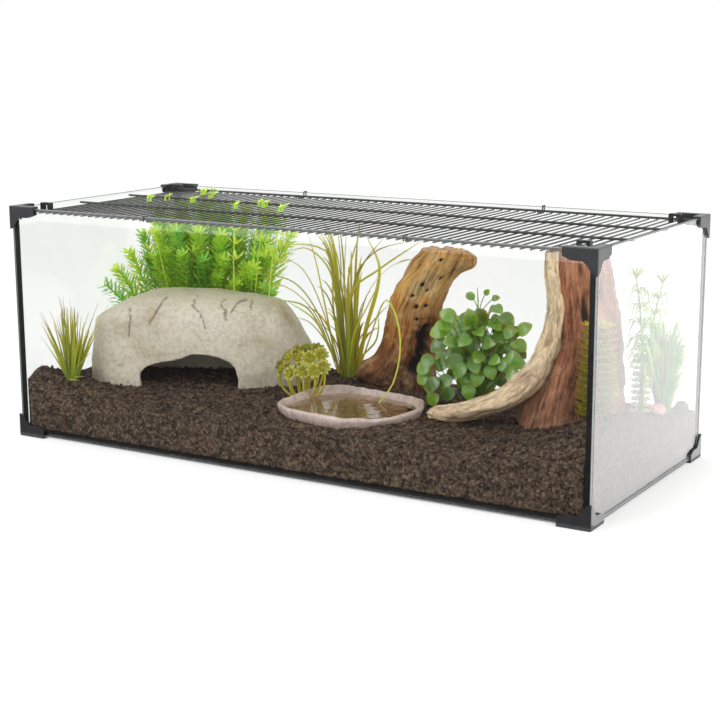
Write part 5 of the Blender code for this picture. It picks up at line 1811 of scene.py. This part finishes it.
class ENCLOSURE_OT_bush(bpy.types.Operator):
    """Grow the bright feathery plant behind the hide"""

    bl_idname = "enclosure.bush"
    bl_label = "Feathery plant"

    # Points along a sprig, leaves in a ring, and the room that tips leave beside a long wire
    steps = 28
    around = 6
    aside = 0.0036

    # Sprig tips, in millimetres
    tips = (
        (-384, -10, 178), (-378, 10, 196), (-374, 34, 216), (-366, 52, 240), (-354, 66, 262),
        (-336, 50, 276), (-322, 84, 280), (-306, 60, 284), (-288, 90, 280), (-272, 60, 284),
        (-254, 90, 280), (-238, 60, 284), (-220, 90, 278), (-202, 70, 282), (-184, 94, 274),
        (-166, 80, 266), (-146, 94, 250), (-360, 60, 204), (-334, 40, 214), (-306, 36, 222),
        (-280, 30, 220), (-252, 40, 214), (-224, 46, 216), (-196, 56, 206), (-160, 66, 222),
        (-172, 62, 180), (-345, 100, 250), (-310, 112, 256), (-275, 112, 250), (-240, 112, 250),
        (-322, 30, 248), (-288, 28, 252), (-255, 34, 252), (-222, 40, 250), (-206, 50, 186),
        (-236, 50, 192),
    )

    def execute(self, context):
        settings = context.scene.enclosure_plants
        chance = random.Random(33)
        leaf = moulded_leaf(
            "soft_sprig_green", settings.sprig, srgb("#E6FF6A"), srgb("#8CE85A"), 0.42, 0.1, 0.10
        )
        foliage = Foliage()
        ends = [metres(tip) for tip in self.tips]
        for k in range(22):
            ends.append(Vector((
                -0.350 + 0.0092 * k, chance.uniform(0.045, 0.115),
                chance.uniform(0.200, 0.276) - 0.03 * (k % 2),
            )))
        for tip in ends:
            foot = Vector((-0.295 + 0.62 * (tip.x + 0.275), 0.094 + 0.5 * (tip.y - 0.075), 0.0))
            foot.z = soil_level(foot.x, foot.y) - 0.004
            middle = foot.lerp(tip, 0.35)
            middle.z = foot.z + (tip.z - foot.z) * 0.75
            path = curve(foot, middle, tip, self.steps)
            foliage.stem(path[::4], [0.9 * MM] * 8, 0.3, 5, [0.2] * 8)
            tint = chance.uniform(0.55, 1.0) if chance.random() > 0.22 else 0.15
            done = 0.0
            for level in range(self.steps, 0, -1):
                if done > 0.098:
                    break
                done += (path[level] - path[level - 1]).length
                share = min(done / 0.060, 1.0)
                reach = (0.009 + 0.010 * share) * chance.uniform(0.85, 1.15)
                run = (path[level] - path[level - 1]).normalized()
                # Painted shade: leaves further from a sprig's tip, deeper in the plant, get a lower tint and
                # come out darker.
                self.whorl(foliage, path[level], run, reach, self.around, tint - 0.25 * share, chance)
        spots = (
            (-0.323, 0.016), (-0.310, 0.038), (-0.262, 0.035), (-0.312, 0.120), (-0.300, 0.128),
            (-0.169, 0.003), (-0.165, 0.040), (-0.146, 0.036), (-0.100, 0.004), (-0.278, 0.090),
        )
        for x, y in spots:
            self.shoot_above(foliage, x, y, chance)
        settle(foliage.build("feathery_plant"), leaf, "tank", "bright_sprigs", "bushy_plant")
        return {"FINISHED"}

    def whorl(self, foliage, centre, run, reach, count, tint, chance):
        """One ring of narrow leaves that point out and ahead."""
        side = run.orthogonal().normalized()
        first = chance.uniform(0, math.pi)
        for k in range(count):
            out = spin_about(side, run, first + 2 * math.pi * k / count)
            tip = centre + out * reach + run * (reach * chance.uniform(0.5, 1.0))
            if abs(tip.x) > INNER_X - 0.002 or abs(tip.y) > INNER_Y - 0.002 or tip.z > 0.289:
                continue
            middle = centre.lerp(tip, 0.5) + out * (0.08 * reach)
            foliage.leaf(
                [centre, middle, middle.lerp(tip, 0.55), tip],
                [1.0 * MM, 3.9 * MM, 3.2 * MM, 0.3 * MM], 0.35 * MM, run,
                min(max(tint + chance.uniform(-0.25, 0.25), 0), 1), 0.1, [0.35, 0.6, 0.85, 1.0],
            )

    def shoot_above(self, foliage, x, y, chance):
        """A tuft of leaf tips that has grown up between two wires of the lid."""
        x = round(x / cross_step()) * cross_step()
        foot = Vector((-0.29 + 0.62 * (x + 0.29), 0.094 + 0.3 * (y - 0.094), 0.0))
        foot.z = soil_level(foot.x, foot.y) - 0.004
        middle = Vector((0.4 * foot.x + 0.6 * x, 0.3 * foot.y + 0.7 * y, 0.21))
        tall = [foot, middle, Vector((x, y, 0.284)), Vector((x, y, 0.291))]
        foliage.stem(through(tall, 18), [1.0 * MM] * 17 + [0.7 * MM, 0.3 * MM], 0.6, 5, [0.6] * 19)
        for level in (0.225, 0.245, 0.262, 0.276):
            self.whorl(foliage, Vector((x, y, level)), UP, 0.014, self.around, 0.8, chance)
        wire_y = (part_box("lid_grid")[1].y - CROSS_OVERHANG) / 3
        for _ in range(8):
            start = Vector((x, y + chance.uniform(-0.006, 0.006), 0.284))
            knee = start + Vector((0.0, 0.0, 0.0115))
            lean = Vector((
                chance.uniform(-0.0040, 0.0040), chance.uniform(-0.016, 0.016), chance.uniform(0.002, 0.006)
            ))
            tip = knee + lean
            if y < wire_y:
                tip.y = min(tip.y, wire_y - self.aside)
            else:
                tip.y = max(tip.y, wire_y + self.aside)
            foliage.leaf(
                [start, knee, knee.lerp(tip, 0.5) + Vector((0, 0, 0.0006)), tip],
                [0.5 * MM, 1.4 * MM, 3.0 * MM, 0.4 * MM], 0.4 * MM, Vector((0.1, -0.2, 1.0)),
                chance.uniform(0.6, 0.9), 0.1, [0.5, 0.7, 0.85, 1.0],
            )


class ENCLOSURE_OT_leafy(bpy.types.Operator):
    """Grow the round-leaved plant between the logs"""

    bl_idname = "enclosure.leafy"
    bl_label = "Leafy plant"

    # Middles of the front leaves as x and z, in millimetres
    leaves = (
        (176, 182), (152, 186), (206, 178), (199, 192), (214, 199), (224, 187), (176, 158), (198, 154),
        (137, 164), (140, 148), (157, 154), (152, 139), (121, 127), (135, 121), (111, 115), (112, 103),
        (118, 94), (130, 99), (144, 103), (151, 90), (166, 120), (165, 104), (175, 94), (128, 80),
        (184, 128), (206, 135), (222, 131), (233, 141), (244, 136), (235, 124), (241, 157), (227, 170),
        (215, 164), (190, 139), (164, 172), (188, 168), (147, 174), (202, 121), (186, 112), (157, 129),
    )

    def execute(self, context):
        settings = context.scene.enclosure_plants
        chance = random.Random(5)
        surface = moulded_leaf(
            "glossy_round_leaf", settings.leaf, srgb("#A2C858"), srgb("#33641A"), 0.22, 0.7, 0.45
        )
        foliage = Foliage()
        root = Vector((0.164, 0.012, soil_level(0.164, 0.012) - 0.004))
        middle = Vector((0.178, 0.0, 0.140))
        for x, z in self.leaves:
            spot = Vector((x / 1000, chance.uniform(-0.026, -0.006), z / 1000))
            self.grow(foliage, spot, middle, chance.uniform(0.019, 0.0235), chance, root)
        for k in range(60):
            angle = GOLDEN_TURN * k
            share = math.sqrt((k + 0.5) / 60)
            spot = middle + Vector((
                0.052 * share * math.cos(angle), chance.uniform(0.000, 0.026), 0.046 * share * math.sin(angle)
            ))
            self.grow(foliage, spot, middle, chance.uniform(0.018, 0.022), chance, root)
        fork = Vector((0.1815, -0.004, 0.185))
        shoot = [fork, Vector((0.181, -0.004, 0.203)), Vector((0.180, -0.004, 0.219))]
        foliage.stem(shoot, [0.9 * MM, 0.8 * MM, 0.3 * MM])
        top_leaves = (
            ((0.171, -0.005, 0.208), 0.013), ((0.193, -0.005, 0.214), 0.009), ((0.204, -0.005, 0.208), 0.010)
        )
        for spot, size in top_leaves:
            spot = Vector(spot)
            ahead = (spot - Vector((0.181, -0.005, 0.200))).normalized()
            self.round_leaf(foliage, spot, ahead, Vector((0.3, -0.85, 0.4)), size, chance, fork)
        self.round_leaf(
            foliage, Vector((0.245, -0.012, 0.176)), Vector((0.75, 0, 0.65)).normalized(),
            Vector((0.1, -0.85, 0.4)), 0.020, chance, Vector((0.220, -0.004, 0.150)),
        )
        settle(foliage.build("round_leaved_plant"), surface, "tank", "deep_leaves", "leafy_plant")
        return {"FINISHED"}

    def grow(self, foliage, spot, middle, size, chance, root):
        """A leaf that hangs outward from the middle of the plant and looks toward the front."""
        out = spot - middle
        ahead = Vector((out.x, 0.3 * out.y - 0.010, 0.6 * out.z - 0.012)).normalized()
        facing = Vector((0.35 + 9 * out.x, -0.80, 0.45 + 6 * out.z)).normalized()
        twist = Vector((chance.uniform(-0.5, 0.5), chance.uniform(-0.2, 0.2), chance.uniform(-0.5, 0.5)))
        self.round_leaf(foliage, spot, (ahead + twist).normalized(), facing, size, chance, root)

    def round_leaf(self, foliage, spot, ahead, facing, size, chance, root):
        """A rounded leaf with a folded midrib, on a stalk that comes from the root."""
        wobble = Vector((chance.uniform(-0.35, 0.35), chance.uniform(-0.2, 0.2), chance.uniform(-0.3, 0.35)))
        facing = (facing + wobble).normalized()
        side = ahead.cross(facing).normalized()
        up = side.cross(ahead)
        shares = (0.0, 0.05, 0.16, 0.32, 0.5, 0.66, 0.80, 0.92, 1.0)
        widths = (0.05, 0.40, 0.72, 0.93, 0.98, 0.88, 0.66, 0.36, 0.03)
        droop = chance.uniform(0.25, 0.80)
        path = []
        for t in shares:
            point = spot + ahead * (size * (t - 0.5)) - up * (droop * size * (t - 0.35) ** 2)
            path.append(Vector((point.x, point.y, min(max(point.z, 0.066), 0.286))))
        tint = 0.15 + 0.85 * chance.random()
        foliage.leaf(
            path, [0.84 * size * w for w in widths], 0.7 * MM, up, tint, chance.uniform(0.08, 0.20),
            [0.5 + 0.45 * t for t in shares],
        )
        stalk = curve(path[0], path[0] - ahead * 0.010 - Vector((0, 0, 0.006)), root.lerp(path[0], 0.25), 6)
        foliage.stem(stalk, [0.55 * MM] * 7, 0.4, 5, [0.25] * 7)


class ENCLOSURE_OT_rosettes(bpy.types.Operator):
    """Grow the succulent and the whorled stems"""

    bl_idname = "enclosure.rosettes"
    bl_label = "Succulents"

    # Rosettes of the succulent in millimetres, the low outer ones first
    heads = (
        (-68, -50, 101), (-50, -58, 100), (-33, -55, 104), (-18, -54, 106), (-10, -46, 110),
        (-60, -45, 116), (-46, -44, 118), (-30, -46, 119), (-18, -38, 123), (-70, -35, 115),
        (-56, -35, 124), (-42, -32, 127), (-27, -31, 127), (-76, -42, 104), (-50, -22, 124),
        (-34, -20, 125),
    )

    # Whorled stems as side, foot, height of the top, whorls and length of a leaf
    stems = (("front", (0.352, -0.052), 0.203, 13, 0.0235), ("rear", (0.361, 0.053), 0.158, 11, 0.0135))
    stem_leaves = 11

    def execute(self, context):
        settings = context.scene.enclosure_plants
        chance = random.Random(8)
        olive = moulded_leaf("soft_rosette", settings.rosette, srgb("#C6C04A"), srgb("#5E6A24"), 0.42, 0.15)
        mixed = moulded_leaf("soft_whorl", srgb("#A3A332"), srgb("#E3B254"), srgb("#4E5E1E"), 0.42, 0.15)
        foliage = Foliage()
        ground = soil_level(-0.045, -0.036) - 0.003
        for index, spot in enumerate(self.heads):
            head = metres(spot)
            x, y, z = [value / 1000 for value in spot]
            root = Vector((-0.045 + 0.30 * (x + 0.045), -0.038 + 0.2 * (y + 0.038), ground))
            middle = Vector((
                root.x + 1.5 * (x - root.x), root.y + 1.5 * (y - root.y), ground + 0.35 * (z - ground)
            ))
            path = curve(root, middle, head, 10)
            foliage.stem(path, [1.4 * MM] * 11, 1.0, 7, [0.9] * 11)
            out = Vector((x + 0.042, y + 0.020, 0.018)).normalized()
            self.rosette(foliage, head, out, 0.0108, 0.0 if index > 8 else 0.45, chance)
        settle(foliage.build("succulent_rosettes"), olive, "tank", "olive_rosettes", "succulent")
        for side, spot, top, count, reach in self.stems:
            self.whorled("whorled_stem_" + side, spot, top, count, reach, mixed, "whorl_plant_" + side)
        return {"FINISHED"}

    def rosette(self, foliage, head, run, reach, bright, chance):
        """Three rings of fleshy pointed leaves round a stem's end."""
        side = run.orthogonal().normalized()
        for ring, count in ((0, 9), (1, 7), (2, 5)):
            for k in range(count):
                turn = 2 * math.pi * (k + 0.5 * ring) / count + chance.uniform(-0.1, 0.1)
                out = spin_about(side, run, turn)
                size = reach * (1 - 0.24 * ring)
                rise = 0.15 + 0.45 * ring
                tip = head + out * size * (1 - 0.25 * ring) + run * (size * rise)
                middle = head + out * (size * 0.6) + run * (size * (rise * 0.35))
                foliage.leaf(
                    [head - run * 0.001, (head + middle) / 2, middle, (middle + tip) / 2, tip],
                    [0.20 * size, 0.44 * size, 0.54 * size, 0.42 * size, 0.05 * size],
                    1.6 * MM, run, min(bright + chance.uniform(0.1, 0.55), 1.0), 0.06,
                    [0.3, 0.5, 0.7, 0.9, 1.0],
                )

    def whorled(self, name, spot, top, count, reach, surface, node):
        """An upright stem with rings of fleshy leaves all the way up."""
        foliage = Foliage()
        ground = soil_level(*spot)
        stem = [Vector((*spot, z)) for z in (ground - 0.004, (ground + top) / 2, top - 0.004)]
        foliage.stem(stem, [1.6 * MM, 1.4 * MM, 1.0 * MM], 0.3, 8, [0.3, 0.3, 0.3])
        for level in range(count):
            z = ground + 0.006 + (top - ground - 0.012) * level / (count - 1)
            centre = Vector((*spot, z))
            size = reach * (1 - 0.30 * (level / count) ** 2)
            tint = (0.95, 0.6, 0.75)[level % 3]
            for k in range(self.stem_leaves):
                angle = 2 * math.pi * (k + 0.5 * (level % 2)) / self.stem_leaves
                out = Vector((math.cos(angle), math.sin(angle), 0))
                tip = centre + out * size + UP * (0.16 * size)
                bend = centre + out * (0.8 * size) + UP * (0.03 * size)
                # Painted shade: each leaf's colour starts at its darkest by the stem, as shade in the gaps
                # between whorls.
                foliage.leaf(
                    [centre, centre + out * (0.4 * size), bend, tip],
                    [0.20 * size, 0.40 * size, 0.42 * size, 0.10 * size], 1.4 * MM, UP, tint, 0.08,
                    [0.0, 0.1, 0.6, 0.8 + 0.2 * (level % 3 == 1)],
                )
        settle(foliage.build(name), surface, "tank", "olive_rosettes", node)


class ENCLOSURE_PT_panel(bpy.types.Panel):
    """Settings and steps of the enclosure"""

    bl_label = "Enclosure"
    bl_idname = "ENCLOSURE_PT_panel"
    bl_space_type = "VIEW_3D"
    bl_region_type = "UI"
    bl_category = "Enclosure"

    def draw(self, context):
        layout = self.layout
        for group in SETTINGS:
            box = layout.box()
            settings = getattr(context.scene, group)
            for name in settings.bl_rna.properties.keys():
                if name not in ("rna_type", "name"):
                    box.prop(settings, name)
        for operator in OPERATORS:
            layout.operator(operator.bl_idname)


OPERATORS = (
    ENCLOSURE_OT_stage,
    ENCLOSURE_OT_tank,
    ENCLOSURE_OT_lid,
    ENCLOSURE_OT_hooks,
    ENCLOSURE_OT_soil,
    ENCLOSURE_OT_hide,
    ENCLOSURE_OT_dish,
    ENCLOSURE_OT_wood,
    ENCLOSURE_OT_stones,
    ENCLOSURE_OT_grasses,
    ENCLOSURE_OT_bush,
    ENCLOSURE_OT_leafy,
    ENCLOSURE_OT_rosettes,
)
SETTINGS = {
    "enclosure_stage": StageSettings,
    "enclosure_tank": TankSettings,
    "enclosure_lid": LidSettings,
    "enclosure_ground": GroundSettings,
    "enclosure_plants": PlantSettings,
}


def register():
    for group, kind in SETTINGS.items():
        bpy.utils.register_class(kind)
        setattr(bpy.types.Scene, group, bpy.props.PointerProperty(type=kind))
    for operator in OPERATORS:
        bpy.utils.register_class(operator)
    bpy.utils.register_class(ENCLOSURE_PT_panel)


def unregister():
    bpy.utils.unregister_class(ENCLOSURE_PT_panel)
    for operator in reversed(OPERATORS):
        bpy.utils.unregister_class(operator)
    for group, kind in SETTINGS.items():
        delattr(bpy.types.Scene, group)
        bpy.utils.unregister_class(kind)


def main():
    register()
    bpy.context.scene.view_settings.view_transform = "Standard"
    for operator in OPERATORS:
        step = getattr(bpy.ops.enclosure, operator.bl_idname.split(".")[1])
        step()
    deselect()


if __name__ == "__main__":
    main()
